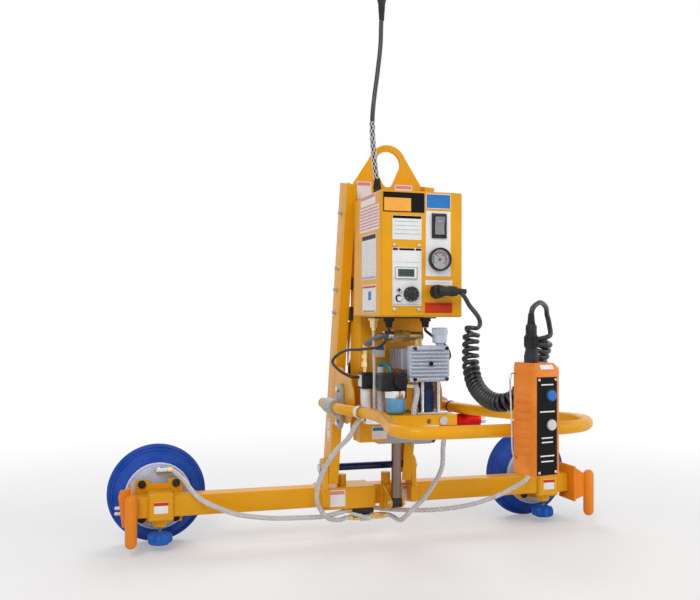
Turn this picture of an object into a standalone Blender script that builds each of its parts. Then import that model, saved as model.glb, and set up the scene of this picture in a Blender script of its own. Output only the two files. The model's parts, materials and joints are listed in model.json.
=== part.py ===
# Tilting vacuum lifter: a hoist-hung frame that carries a crossarm with two vacuum pads.
# Sizes are in metres, +Z is up, and the pads face +Y. The pieces are placed in a working
# frame whose origin is the middle of the crossarm beam. One empty moves that frame, so that
# the model's own origin is the middle of the lifting eye.

import math

import bmesh
import bpy
from mathutils import Matrix, Vector

# Clearances
GAP = 0.0003
RUNNING = 0.0006

# Lifting eye, seen from the crossarm beam's middle
EYE_Y = -0.170
EYE_Z = 0.845
EYE_RADIUS = 0.033
EYE_FOOT_RADIUS = 0.014
EYE_FOOT_DROP = 0.042
BAIL_THICK = 0.0095
BAIL_RIM = 0.016

# Crossarm
BEAM = 0.0508
BEAM_HALF_LENGTH = 0.600
BLOCK_X = (-0.1296, 0.016)
BLOCK_DEPTH = 0.090
BLOCK_Z = (-0.030, 0.026)
PEG_X = (-0.066, 0.057)
PEG_RADIUS = 0.0125
PEG_TOP = 0.054

# Tilt pivot and legs
PIVOT_Y = -0.028
PIVOT_Z = 0.077
SHAFT_RADIUS = 0.0095
LEG_INNER_X = 0.0881
LEG_WIDTH = 0.0254
LEG_DEPTH = 0.060
LEG_WALL = 0.0048
LEG_TOP_Z = 0.794
LEG_TOP_Y = -0.173
LEG_BELOW_PIVOT = 0.034
EAR_THICK = 0.012
EAR_WIDTH = 0.050

# Trunk, shelf and handle
TRUNK_HALF_X = 0.080
TRUNK_FRONT_Y = -0.208
TRUNK_BACK_Y = -0.128
TRUNK_WALL = 0.004
TRUNK_Z = (0.165, 0.7515)
SHELF_X = (-0.0635, 0.092)
SHELF_WING = (-0.100, -0.292)
SHELF_FRONT_Y = -0.388
SHELF_TOP_Z = 0.2480
SHELF_THICK = 0.004
SHELF_LIP = 0.024
HANDLE_Z = 0.250
HANDLE_RADIUS = 0.0127
HANDLE_ARM_X = 0.137
CLAMP_Y = -0.165
CLAMP_HALF_HEIGHT = 0.055

# Control box
BOX_WIDTH = 0.195
BOX_DEPTH = 0.1945
BOX_HEIGHT = 0.280
BOX_BOTTOM_Z = 0.4675
BOX_WALL = 0.0040
GAUGE_X = 0.040
GAUGE_Z = 0.596
GAUGE_RADIUS = 0.0262

# Tilt actuator
ACTUATOR_X = 0.058
MOUNT_Z = 0.420
PIN_Y = -0.085
PIN_Z = -0.012
ROD_RADIUS = 0.013
TUBE_RADIUS = 0.0185
GEARBOX_Z = (0.148, 0.205)

# Pads
PAD_FROM_END = 0.0675
PAD_X = BEAM_HALF_LENGTH - PAD_FROM_END
PAD_Z = 0.012
PAD_LIP_RADIUS = 0.125
PAD_LIP_WIDTH = 0.009
PAD_FACE_Y = 0.107
PLATE_RADIUS = 0.084
PLATE_Y = (0.053, 0.0585)
SLEEVE_LENGTH = 0.062
SLEEVE_WALL = 0.0078
FLANGE_WIDTH = 0.116
FLANGE_HEIGHT = 0.108
FLANGE_THICK = 0.006
FLANGE_Z = 0.004
BUSH_SPACING_X = 0.084
BUSH_SPACING_Z = 0.086
BUSH_RADIUS = 0.0078
KNOB_RADIUS = 0.031

# Grip bars, out from the beam's ends
GRIP_OUT = {"left": 0.004, "right": 0.052}
GRIP_Y = -0.046

# Pendant
PENDANT = (0.061, 0.070, 0.207)
PENDANT_AT = (0.095, -0.7360, 0.2795)
PENDANT_TURN = math.radians(10)

# Colours
YELLOW = (0.90, 0.46, 0.03)
ORANGE = (0.87, 0.27, 0.05)
PAD_BLUE = (0.01, 0.09, 0.42)
SILVER = (0.62, 0.63, 0.64)
CAST_GREY = (0.42, 0.44, 0.45)
BRASS = (0.72, 0.50, 0.16)
BLACK = (0.015, 0.015, 0.016)

BODY_Y = BLOCK_DEPTH / 2
BOX_FRONT_Y = TRUNK_FRONT_Y - GAP - BOX_DEPTH
BOX_TOP_Z = BOX_BOTTOM_Z + BOX_HEIGHT
LEG_OUTER_X = LEG_INNER_X + LEG_WIDTH
LEAN = math.atan2(PIVOT_Y - LEG_TOP_Y, LEG_TOP_Z - PIVOT_Z)
CLEVIS_INNER = ROD_RADIUS + 0.0005
CLEVIS_THICK = 0.006

for old in list(bpy.data.objects):
    bpy.data.objects.remove(old, do_unlink=True)

parts = bpy.data.collections.new("tilting_vacuum_lifter")
bpy.context.scene.collection.children.link(parts)
materials = {}


def material(name, colour, roughness=0.45, metallic=0.0):
    """One Principled material for each finish."""
    if name not in materials:
        made = bpy.data.materials.new(name)
        made.use_nodes = True
        shader = made.node_tree.nodes["Principled BSDF"]
        shader.inputs["Base Color"].default_value = (*colour, 1.0)
        shader.inputs["Roughness"].default_value = roughness
        shader.inputs["Metallic"].default_value = metallic
        materials[name] = made
    return materials[name]


def yellow_paint():
    return material("yellow_enamel", YELLOW, 0.35)


def orange_paint():
    return material("orange_enamel", ORANGE, 0.38)


def black_plastic():
    return material("black_plastic", BLACK, 0.4)


def bright_steel():
    return material("zinc_steel", SILVER, 0.3, 1.0)


def brass():
    return material("brass", BRASS, 0.3, 1.0)


def add(name, mesh, finish, at=(0, 0, 0)):
    """Links a new object at a place in the working frame."""
    piece = bpy.data.objects.new(name, mesh)
    piece.location = at
    if finish is not None:
        mesh.materials.append(finish)
    parts.objects.link(piece)
    return piece


def turn_to(mesh, axis):
    """Lays a mesh that stands along Z along X or Y."""
    if axis == "X":
        mesh.transform(Matrix.Rotation(math.pi / 2, 4, "Y"))
    if axis == "Y":
        mesh.transform(Matrix.Rotation(-math.pi / 2, 4, "X"))


def block(name, size, at, finish, bevel=0.0, turn=None):
    """A cuboid with its corners rounded by a Bevel modifier."""
    mesh = bpy.data.meshes.new(name)
    form = bmesh.new()
    bmesh.ops.create_cube(form, size=1.0)
    bmesh.ops.scale(form, vec=size, verts=form.verts)
    form.to_mesh(mesh)
    form.free()
    piece = add(name, mesh, finish, at)
    if turn is not None:
        piece.rotation_euler = turn
    if bevel > 0:
        round_edges = piece.modifiers.new("round_edges", "BEVEL")
        round_edges.width = bevel
        round_edges.segments = 1
    return piece


def between(name, low, high, finish, bevel=0.0):
    """A block given by two opposite corners."""
    size = [b - a for a, b in zip(low, high)]
    middle = [(a + b) / 2 for a, b in zip(low, high)]
    return block(name, size, middle, finish, bevel)


def disc(name, radius, length, at, axis, finish, sides=20, end_radius=None):
    """A cylinder, or a cone when end_radius is given."""
    mesh = bpy.data.meshes.new(name)
    form = bmesh.new()
    top = radius if end_radius is None else end_radius
    bmesh.ops.create_cone(form, cap_ends=True, segments=sides, radius1=radius,
                          radius2=top, depth=length)
    form.to_mesh(mesh)
    form.free()
    turn_to(mesh, axis)
    piece = add(name, mesh, finish, at)
    mesh.shade_smooth()
    mesh.set_sharp_from_angle(angle=math.radians(35))
    return piece


def turned(name, profile, at, axis, finish, steps=32):
    """A turned shape. The profile runs down its outer side, as (radius, height)."""
    mesh = bpy.data.meshes.new(name)
    points = [(radius, 0.0, height) for radius, height in profile]
    mesh.from_pydata(points, [(i, i + 1) for i in range(len(points) - 1)], [])
    piece = add(name, mesh, finish, at)
    screw = piece.modifiers.new("turn", "SCREW")
    screw.axis = "Z"
    screw.steps = steps
    screw.render_steps = steps
    screw.use_merge_vertices = True
    screw.merge_threshold = 0.00001
    if axis == "Y":
        piece.rotation_euler = (-math.pi / 2, 0, 0)
    if axis == "X":
        piece.rotation_euler = (0, math.pi / 2, 0)
    return piece


def outline_plate(name, outline, thickness, plane, offset, finish, holes=()):
    """A flat plate from an outline. Plane XZ stands across Y, and YZ across X."""
    curve = bpy.data.curves.new(name, "CURVE")
    curve.dimensions = "2D"
    curve.fill_mode = "BOTH"
    curve.extrude = thickness / 2
    for ring in (outline, *holes):
        spline = curve.splines.new("POLY")
        spline.points.add(len(ring) - 1)
        for point, (u, v) in zip(spline.points, ring):
            point.co = (u, v, 0, 1)
        spline.use_cyclic_u = True
    piece = add(name, curve, None)
    if plane == "XZ":
        piece.rotation_euler = (math.pi / 2, 0, 0)
        piece.location = (0, offset, 0)
    if plane == "YZ":
        piece.rotation_euler = (math.pi / 2, 0, math.pi / 2)
        piece.location = (offset, 0, 0)
    if plane == "XY":
        piece.location = (0, 0, offset)
    piece = as_mesh(piece)
    piece.data.materials.append(finish)
    return piece


def smooth_route(points, spacing):
    """Points along a Catmull-Rom curve through the route's own points, straight at both ends."""
    knots = [Vector(p) for p in points]
    knots = [2 * knots[0] - knots[1], *knots, 2 * knots[-1] - knots[-2]]
    route = []
    for i in range(1, len(knots) - 2):
        a, b, c, d = knots[i - 1:i + 3]
        at_end = i == 1 or i == len(knots) - 3
        count = 1 if at_end else max(2, round((c - b).length / spacing))
        for step in range(count):
            t = step / count
            route.append(0.5 * (2 * b + (c - a) * t + (2 * a - 5 * b + 4 * c - d) * t ** 2
                                + (3 * b - a - 3 * c + d) * t ** 3))
    route.append(knots[-2])
    return route


def pipe(name, points, radius, finish, spacing=None, resolution=2):
    """A round tube, bar or cord along a smooth route."""
    spacing = spacing or radius * 4
    route = smooth_route(points, spacing)
    curve = bpy.data.curves.new(name, "CURVE")
    curve.dimensions = "3D"
    curve.bevel_depth = radius
    curve.bevel_resolution = resolution
    curve.use_fill_caps = True
    spline = curve.splines.new("POLY")
    spline.points.add(len(route) - 1)
    for point, place in zip(spline.points, route):
        point.co = (*place, 1)
    piece = add(name, curve, None)
    piece = as_mesh(piece)
    piece.data.materials.append(finish)
    return piece


def as_mesh(piece):
    """Makes a curve a closed mesh and removes the curve."""
    bpy.context.view_layer.update()
    graph = bpy.context.evaluated_depsgraph_get()
    mesh = bpy.data.meshes.new_from_object(piece.evaluated_get(graph), depsgraph=graph)
    form = bmesh.new()
    form.from_mesh(mesh)
    bmesh.ops.remove_doubles(form, verts=form.verts, dist=0.00001)
    form.to_mesh(mesh)
    form.free()
    solid = bpy.data.objects.new(piece.name, mesh)
    solid.matrix_world = piece.matrix_world.copy()
    parts.objects.link(solid)
    name = piece.name
    bpy.data.objects.remove(piece, do_unlink=True)
    solid.name = name
    mesh.materials.clear()
    return solid


def combine(base, others, operation):
    """Joins the others to the base, or cuts them from it, as one closed body."""
    for other in others:
        change = base.modifiers.new("combine", "BOOLEAN")
        change.operation = operation
        change.object = other
        change.solver = "EXACT"
    bpy.context.view_layer.update()
    graph = bpy.context.evaluated_depsgraph_get()
    mesh = bpy.data.meshes.new_from_object(base.evaluated_get(graph), depsgraph=graph)
    base.modifiers.clear()
    base.data = mesh
    for other in others:
        bpy.data.objects.remove(other, do_unlink=True)
    finish = mesh.materials[0] if mesh.materials else None
    mesh.materials.clear()
    if finish:
        mesh.materials.append(finish)
    return base


def fuse(base, *others):
    return combine(base, others, "UNION")


def cut(base, *others):
    return combine(base, others, "DIFFERENCE")


def arc(centre, radius, start, end, steps):
    """Points on an arc, in degrees, counted from the first axis."""
    for i in range(steps + 1):
        angle = math.radians(start + (end - start) * i / steps)
        yield (centre[0] + radius * math.cos(angle), centre[1] + radius * math.sin(angle))


def leg_y(z):
    """The leg's middle line at a height."""
    return PIVOT_Y - math.tan(LEAN) * (z - PIVOT_Z)


def leg(name, side):
    """A channel that leans forward, open towards the middle, with the handle's wing plate."""
    paint = yellow_paint()
    top_length = (LEG_TOP_Z - PIVOT_Z) / math.cos(LEAN)
    length = top_length + LEG_BELOW_PIVOT
    middle = (top_length - LEG_BELOW_PIVOT) / 2
    at = (side * (LEG_INNER_X + LEG_WIDTH / 2), PIVOT_Y - math.sin(LEAN) * middle,
          PIVOT_Z + math.cos(LEAN) * middle)
    body = block(name, (LEG_WIDTH, LEG_DEPTH, length), at, paint, turn=(LEAN, 0, 0))
    hollow = block("leg_hollow", (LEG_WIDTH, LEG_DEPTH - 2 * LEG_WALL, length * 1.1), at, None,
                   turn=(LEAN, 0, 0))
    hollow.location.x -= side * LEG_WALL
    cut(body, hollow)
    top, foot = 0.345, 0.196
    wing = [(leg_y(foot) - 0.005, foot), (leg_y(top) - 0.005, top), (-0.165, 0.342),
            *arc((-0.195, 0.272), 0.062, 75, 285, 10), (-0.150, foot + 0.002)]
    inset = 0.0004
    plate = outline_plate("wing", wing, LEG_WALL - 2 * inset, "YZ",
                          side * (LEG_OUTER_X - LEG_WALL / 2), paint)
    heads = [hex_head(0.007, 0.006, (side * (LEG_OUTER_X + 0.002), leg_y(z), z), "X", None)
             for z in (0.722, 0.588, 0.535, 0.478)]
    fuse(body, plate, *heads)
    bore = disc("bore", SHAFT_RADIUS + RUNNING / 2, 0.2,
                (side * LEG_OUTER_X, PIVOT_Y, PIVOT_Z), "X", None)
    cut(body, bore)
    return body


def lifting_bail():
    """The plate between the leg tops, with the eye that the hook takes."""
    half = LEG_INNER_X - GAP
    foot_z, shoulder_z = TRUNK_Z[1] + GAP, 0.797
    crown = EYE_RADIUS + BAIL_RIM
    outline = [(-half, foot_z), (half, foot_z), (half, shoulder_z),
               *arc((0, EYE_Z), crown, 22, 158, 12), (-half, shoulder_z)]
    eye = [*arc((0, EYE_Z), EYE_RADIUS, -12, 192, 14),
           *arc((0, EYE_Z - EYE_FOOT_DROP), EYE_FOOT_RADIUS, 200, 340, 6)]
    return outline_plate("lifting_bail", outline, BAIL_THICK, "XZ", EYE_Y, yellow_paint(), [eye])


def trunk():
    """The folded column between the legs, with the actuator's hanger at its back."""
    paint = yellow_paint()
    low, high = TRUNK_Z
    body = between("trunk", (-TRUNK_HALF_X, TRUNK_FRONT_Y, low),
                   (TRUNK_HALF_X, TRUNK_BACK_Y, high), paint)
    inner = TRUNK_HALF_X - TRUNK_WALL
    hollow = between("hollow", (-inner, TRUNK_FRONT_Y + TRUNK_WALL, low - 0.01),
                     (inner, TRUNK_BACK_Y + 0.01, high + 0.01), None)
    notch = between("notch", (-0.014, TRUNK_FRONT_Y - 0.01, low - 0.01),
                    (TRUNK_HALF_X + 0.01, TRUNK_BACK_Y + 0.01, GEARBOX_Z[1] + 0.012), None)
    corner = block("corner", (0.3, 0.06, 0.03), (0, TRUNK_BACK_Y + 0.006, low), None,
                   turn=(math.radians(-14), 0, 0))
    cut(body, hollow, notch, corner)
    bar = between("cross_bar", (-inner - 0.001, TRUNK_BACK_Y - 0.006, MOUNT_Z - 0.020),
                  (inner + 0.001, TRUNK_BACK_Y + 0.004, MOUNT_Z + 0.020), None)
    ears = []
    for side in (-1, 1):
        x = ACTUATOR_X + side * 0.0125
        ears.append(between("hanger_ear", (x - 0.0025, TRUNK_BACK_Y, MOUNT_Z - 0.015),
                            (x + 0.0025, PIN_Y + 0.015, MOUNT_Z + 0.015), None))
    pin = disc("hanger_pin", 0.005, 0.030, (ACTUATOR_X, PIN_Y, MOUNT_Z), "X", None, 16)
    return fuse(body, bar, *ears, pin, *leg_spacers())


def pump_shelf():
    """The shelf in front of the trunk, with its lip turned down and a hole in it."""
    paint = yellow_paint()
    back = TRUNK_FRONT_Y - GAP
    under = SHELF_TOP_Z - SHELF_THICK
    lip_z = SHELF_TOP_Z - SHELF_LIP
    low = (SHELF_X[0], SHELF_FRONT_Y, under)
    body = between("pump_shelf", low, (SHELF_X[1], back, SHELF_TOP_Z), paint)
    wing = between("wing", (SHELF_WING[0], SHELF_WING[1], under),
                   (SHELF_X[0] + 0.01, back - 0.001, SHELF_TOP_Z - 0.0002), None)
    lip = between("lip", (SHELF_X[0] + 0.0002, SHELF_FRONT_Y + 0.0002, lip_z),
                  (SHELF_X[1] - 0.0002, SHELF_FRONT_Y + SHELF_THICK, SHELF_TOP_Z - 0.001), None)
    rear = between("rear_lip", (-TRUNK_HALF_X, back - SHELF_THICK, lip_z + 0.0002),
                   (TRUNK_HALF_X, back - 0.0002, SHELF_TOP_Z - 0.001), None)
    gusset = between("gusset", (SHELF_X[1] - SHELF_THICK, SHELF_FRONT_Y + 0.001, lip_z + 0.0001),
                     (SHELF_X[1] - 0.0001, back - 0.001, SHELF_TOP_Z - 0.001), None)
    washer = disc("washer", 0.0095, 0.006, (0.058, SHELF_FRONT_Y - 0.001, SHELF_TOP_Z - 0.013),
                  "Y", None, 16)
    canister = disc("canister", 0.0245, 0.027, (-0.066, -0.268, SHELF_TOP_Z - 0.0155), "Z", None, 20)
    fuse(body, wing, lip, rear, gusset, washer, canister)
    hole = disc("hole", 0.006, 0.02, (0.024, SHELF_FRONT_Y, SHELF_TOP_Z - 0.014), "Y", None, 16)
    return cut(body, hole)


def leg_spacers():
    """Blocks on the trunk's sides that reach the legs at three heights."""
    pieces = []
    rows = ((0.722, -0.186, -0.132, 0.030), (0.550, -0.150, -0.132, 0.030),
            (0.475, -0.150, -0.098, 0.034))
    inner, outer = TRUNK_HALF_X - 0.001, LEG_INNER_X - GAP
    for side in (-1, 1):
        for z, front, back, height in rows:
            pieces.append(block("spacer", (outer - inner, back - front, height),
                                (side * (inner + outer) / 2, (front + back) / 2, z), None))
    return pieces


def hex_head(radius, length, at, axis, finish):
    return disc("head", radius, length, at, axis, finish, 6)


def handle_clamp(name, side):
    """The cast clamp, bolted to the wing plate, that holds one end of the handlebar."""
    base = LEG_OUTER_X + GAP
    lobe, thick = 0.020, 0.0085
    reach = CLAMP_HALF_HEIGHT - lobe
    outline = [*arc((CLAMP_Y, HANDLE_Z + reach), lobe, 0, 180, 8),
               *arc((CLAMP_Y, HANDLE_Z - reach), lobe, 180, 360, 8)]
    body = outline_plate(name, outline, thick, "YZ", side * (base + thick / 2),
                         material("cast_grey", CAST_GREY, 0.55, 0.6))
    boss = disc("boss", 0.0195, 0.066, (side * HANDLE_ARM_X, CLAMP_Y, HANDLE_Z), "Y", None)
    heads = [hex_head(0.008, 0.007, (side * (base + thick + 0.0025), CLAMP_Y, HANDLE_Z + drop),
                      "X", None) for drop in (-0.041, 0.041)]
    fuse(body, boss, *heads)
    skim = block("skim", (0.04, 0.2, 0.2), (side * (base - 0.02), CLAMP_Y, HANDLE_Z), None)
    bore = disc("bore", HANDLE_RADIUS + GAP, 0.2, (side * HANDLE_ARM_X, CLAMP_Y, HANDLE_Z),
                "Y", None, 32)
    return cut(body, skim, bore)


def handlebar():
    """The guiding handle: one bent tube, level, ahead of the legs."""
    z = HANDLE_Z
    x = HANDLE_ARM_X
    route = [(-x, -0.085, z), (-x, -0.150, z), (-x, -0.200, z), (-x, -0.220, z),
             (-0.132, -0.255, z), (-0.116, -0.293, z), (-0.102, -0.345, z), (-0.101, -0.420, z),
             (-0.118, -0.500, z), (-0.140, -0.590, z), (-0.142, -0.638, z), (-0.118, -0.669, z),
             (-0.060, -0.681, z), (0.000, -0.683, z),
             (0.100, -0.683, z), (0.190, -0.677, z), (0.250, -0.652, z), (0.288, -0.605, z),
             (0.294, -0.562, z), (0.272, -0.518, z), (0.225, -0.450, z), (0.178, -0.370, z),
             (0.150, -0.300, z), (x + 0.002, -0.235, z), (x, -0.190, z), (x, -0.100, z)]
    return pipe("handlebar", route, HANDLE_RADIUS, yellow_paint(), 0.030, 3)


def pivot_shaft():
    """The tilt shaft through the legs and the crossarm's ears, with its end bolts."""
    finish = material("navy_steel", (0.02, 0.025, 0.07), 0.35, 0.7)
    end = LEG_OUTER_X + 0.001 + EAR_THICK + GAP
    body = disc("pivot_shaft", SHAFT_RADIUS, 2 * end + 0.002, (0, PIVOT_Y, PIVOT_Z), "X", finish)
    heads = []
    for side in (-1, 1):
        heads.append(hex_head(0.013, 0.008, (side * (end + 0.004), PIVOT_Y, PIVOT_Z), "X", None))
    return fuse(body, *heads)


def control_box():
    """The sheet enclosure ahead of the trunk's top, with the supply cord's gland."""
    low = (-BOX_WIDTH / 2, BOX_FRONT_Y, BOX_BOTTOM_Z)
    high = (BOX_WIDTH / 2, TRUNK_FRONT_Y - GAP, BOX_TOP_Z)
    body = between("control_box", low, high, yellow_paint(), 0.003)
    inside = between("inside", (low[0] + BOX_WALL, low[1] - BOX_WALL, low[2] + BOX_WALL),
                     (high[0] - BOX_WALL, high[1] - BOX_WALL, high[2] - BOX_WALL), None)
    cut(body, inside)
    gland = disc("gland", 0.0130, 0.011, (-0.050, -0.240, BOX_TOP_Z + 0.0045), "Z", None, 6)
    nut = disc("nut", 0.0110, 0.018, (-0.050, -0.240, BOX_TOP_Z + 0.0170), "Z", None, 16, 0.0085)
    return fuse(body, gland, nut)


PANEL_FACE_Y = BOX_FRONT_Y - GAP - 0.002


def box_lid():
    """The box's lid with its bare plates, the display's frame, the switch's frame, the
    reset button's collar and the alarm sounder."""
    back = BOX_FRONT_Y - GAP
    face = PANEL_FACE_Y
    margin = 0.003
    half = BOX_WIDTH / 2 - margin
    low_z, high_z = BOX_BOTTOM_Z + margin, BOX_TOP_Z - margin
    body = between("box_lid", (-half, face + 0.001, low_z), (half, back, high_z), yellow_paint())
    plates = [(-0.0925, 0.699, 0.0045, 0.7425), (0.008, 0.709, 0.068, 0.7425),
              (0.008, 0.558, 0.068, 0.704), (-0.071, 0.492, -0.002, 0.620),
              (-0.071, 0.638, -0.002, 0.692)]
    extras = [between("plate", (x0, face, z0), (x1, face + 0.0015, z1), None)
              for x0, z0, x1, z1 in plates]
    display = between("display", (-0.066, face - 0.004, 0.551), (-0.013, face + 0.001, 0.578), None)
    frame = between("frame", (0.0220, face - 0.004, 0.6435), (0.0570, face + 0.001, 0.6985), None)
    reset = disc("reset", 0.0045, 0.005, (-0.056, face - 0.0015, 0.5265), "Y", None, 16)
    sounder = disc("sounder", 0.0165, 0.010, (-0.028, face - 0.004, 0.518), "Y", None, 24)
    dome = disc("dome", 0.0110, 0.013, (-0.028, face - 0.0055, 0.518), "Y", None, 20)
    fuse(body, *extras, display, frame, reset, sounder, dome)
    pocket = between("pocket", (-0.059, face - 0.006, 0.5560), (-0.020, face - 0.002, 0.5730), None)
    well = between("well", (0.0275, face - 0.006, 0.6500), (0.0515, back + 0.001, 0.6920), None)
    button_hole = disc("button_hole", 0.0059, 0.02, (-0.056, face, 0.5075), "Y", None)
    return cut(body, pocket, well, button_hole)


def rocker_switch():
    """The power switch, turning on its middle line. Its face bends in the middle."""
    y = PANEL_FACE_Y
    z = (0.650 + 0.692) / 2
    half = 0.0200
    outline = [(y - 0.0030, z - half), (y - 0.0075, z - half), (y - 0.0050, z),
               (y - 0.0105, z + half), (y - 0.0050, z + half), (y - 0.0022, z)]
    rocker = outline_plate("rocker_switch", outline, 0.0225, "YZ", 0.0395,
                           material("grey_plastic", (0.12, 0.12, 0.13), 0.4))
    return rocker


def gauge():
    """The round vacuum gauge: case and needle."""
    y = PANEL_FACE_Y - GAP
    finish = black_plastic()
    depth = 0.012
    profile = [(0.0, 0.0025), (GAUGE_RADIUS - 0.004, 0.0025), (GAUGE_RADIUS - 0.004, depth),
               (GAUGE_RADIUS - 0.001, depth), (GAUGE_RADIUS, depth - 0.001),
               (GAUGE_RADIUS, 0.0), (0.0, 0.0)]
    case = turned("gauge_body", profile, (GAUGE_X, y, GAUGE_Z), "Y", finish)
    case.rotation_euler = (math.pi / 2, 0, 0)
    hub_y = y - 0.0025 - GAP
    needle = disc("gauge_needle", 0.003, 0.0025, (GAUGE_X, hub_y - 0.00125, GAUGE_Z), "Y",
                  material("needle_black", BLACK, 0.5), 12)
    hand = block("hand", (0.0012, 0.0008, 0.021), (GAUGE_X, hub_y - 0.0012, GAUGE_Z), None)
    lean = math.radians(-35)
    hand.rotation_euler = (0, lean, 0)
    hand.location.x += 0.0072 * math.sin(lean)
    hand.location.z += 0.0072 * math.cos(lean)
    fuse(needle, hand)
    return case, needle


def test_button():
    """The bright push button beside the sounder."""
    button = turned("test_button", [(0.0, 0.0065), (0.0050, 0.0065), (0.0055, 0.0060),
                                    (0.0055, 0.0), (0.0, 0.0)],
                    (-0.056, PANEL_FACE_Y, 0.5075), "Y", bright_steel(), 20)
    button.rotation_euler = (math.pi / 2, 0, 0)
    return button


def box_fittings():
    """The gland plate under the box, with two cable glands and the hose's bulkhead."""
    under = BOX_BOTTOM_Z - GAP
    plate = between("box_fittings", (-0.0935, -0.352, under - 0.003), (0.056, -0.285, under),
                    black_plastic())
    extras = []
    for x in (-0.051, 0.038):
        extras.append(disc("nut", 0.0125, 0.008, (x, -0.330, under - 0.006), "Z", None, 6))
        extras.append(disc("gland", 0.0075, 0.018, (x, -0.330, under - 0.015), "Z", None, 16, 0.0100))
    for radius, low, sides in ((0.0125, 0.008, 6), (0.0060, 0.018, 16), (0.0085, 0.024, 16),
                               (0.0050, 0.031, 16)):
        extras.append(disc("bulkhead", radius, low - 0.001, (-0.078, -0.300, under - (low + 0.001) / 2),
                           "Z", None, sides))
    return fuse(plate, *extras)


def pendant_plug():
    """The angled plug of the pendant's cord on the box's front."""
    y = PANEL_FACE_Y + 0.001 - GAP
    finish = black_plastic()
    body = disc("pendant_plug", 0.0135, 0.030, (0.032, y - 0.015, 0.524), "Y", finish, 20)
    arm = disc("arm", 0.0105, 0.044, (0.048, y - 0.028, 0.5245), "X", None, 20)
    ring = disc("ring", 0.0155, 0.010, (0.032, y - 0.009, 0.524), "Y", None, 20)
    return fuse(body, arm, ring)


def pump_base():
    """The pump's base plate with four posts, standing on the shelf."""
    finish = bright_steel()
    z = SHELF_TOP_Z + GAP
    plate = between("pump_base", (0.0, -0.379, z), (0.072, -0.300, z + 0.005), finish)
    posts = []
    for x in (0.017, 0.056):
        for y in (-0.364, -0.314):
            posts.append(disc("post", 0.0045, 0.0682, (x, y, z + 0.004 + 0.0341), "Z", None, 12))
    return fuse(plate, *posts)


PUMP_AXIS = (0.0285, 0.3625)
PUMP_MOTOR_RADIUS = 0.034
PUMP_MOTOR_BACK_Y = -0.222
FILTER_HEAD_Z = (0.3005, 0.341)
RISER_AT = (-0.0640, -0.3100)
RISER_TOP_Z = 0.353


def pump_head():
    """The finned head: an eight-sided plate with fins across it and four bolt lugs."""
    finish = material("pump_aluminium", (0.60, 0.62, 0.64), 0.45, 0.8)
    x, z = PUMP_AXIS
    half_w, half_h, chamfer = 0.048, 0.0405, 0.012
    front = -0.386
    outline = []
    for sx, sz in ((1, -1), (1, 1), (-1, 1), (-1, -1)):
        first = (x + sx * half_w, z + sz * (half_h - chamfer))
        second = (x + sx * (half_w - chamfer), z + sz * half_h)
        outline += [first, second] if sx * sz > 0 else [second, first]
    body = outline_plate("pump_head", outline, 0.017, "XZ", front + 0.015, finish)
    fins = []
    for row in range(9):
        level = z + (row - 4) * 0.0084
        reach = half_w - 0.002 if abs(row - 4) < 4 else half_w - chamfer
        fins.append(block("fin", (2 * reach, 0.010, 0.0036), (x, front + 0.005, level), None))
    for sx in (-1, 1):
        for sz in (-1, 1):
            fins.append(disc("lug", 0.0065, 0.018, (x + sx * 0.0415, front + 0.0155,
                                                    z + sz * 0.0345), "Y", None, 12))
    return fuse(body, *fins)


def pump_motor():
    """Crankcase and motor behind the head, with the drive housing standing on the base."""
    finish = material("motor_grey", (0.34, 0.35, 0.36), 0.5, 0.5)
    x, z = PUMP_AXIS
    front = -0.386 + 0.0235 + GAP
    body = disc("pump_motor", PUMP_MOTOR_RADIUS, PUMP_MOTOR_BACK_Y - front,
                (x, (front + PUMP_MOTOR_BACK_Y) / 2, z), "Y", finish, 24)
    rings = []
    for row in range(5):
        y = front + 0.020 + row * 0.022
        rings.append(disc("rib", 0.0368, 0.006, (x, y, z), "Y", None, 24))
    base_top = SHELF_TOP_Z + GAP + 0.005 + GAP
    drive = disc("drive", 0.0180, z - 0.02 - base_top, (0.0365, -0.339, (z - 0.02 + base_top) / 2),
                 "Z", None, 20)
    return fuse(body, *rings, drive)


def intake_filter():
    """The pump's inlet silencer with its knurled cap, on top of the crankcase."""
    x, z = PUMP_AXIS
    finish = material("filter_aluminium", (0.55, 0.56, 0.58), 0.4, 0.8)
    low = z + 0.0405 + GAP
    top = 0.4435
    profile = [(0.0, top), (0.017, top), (0.0185, top - 0.002), (0.0185, top - 0.010),
               (0.0165, top - 0.011), (0.0165, low + 0.006), (0.009, low + 0.004),
               (0.009, low), (0.0, low)]
    return turned("intake_filter", profile, (0.0590, -0.3650, 0), "Z", finish, 20)


def check_valve():
    """The brass check valve, its elbow down to the pump and its hose tail."""
    y = -0.310
    z = 0.4235
    body = disc("check_valve", 0.0158, 0.040, (-0.017, y, z), "X", brass(), 6)
    pieces = [disc("nut", 0.0118, 0.020, (-0.047, y, z), "X", None, 12),
              disc("neck", 0.0100, 0.040, (0.018, y, z), "X", None, 12),
              disc("elbow", 0.0092, 0.0225, (0.029, y, z - 0.010), "Z", None, 12)]
    feed = pipe("feed", [(-0.0550, y, z), (-0.0680, -0.308, z - 0.001), (-0.0800, -0.292, 0.4130),
                         (-0.0890, -0.276, 0.4020), (-0.0890, -0.276, 0.3925)], 0.0075, brass(),
                0.012)
    return fuse(body, *pieces, feed)


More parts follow.
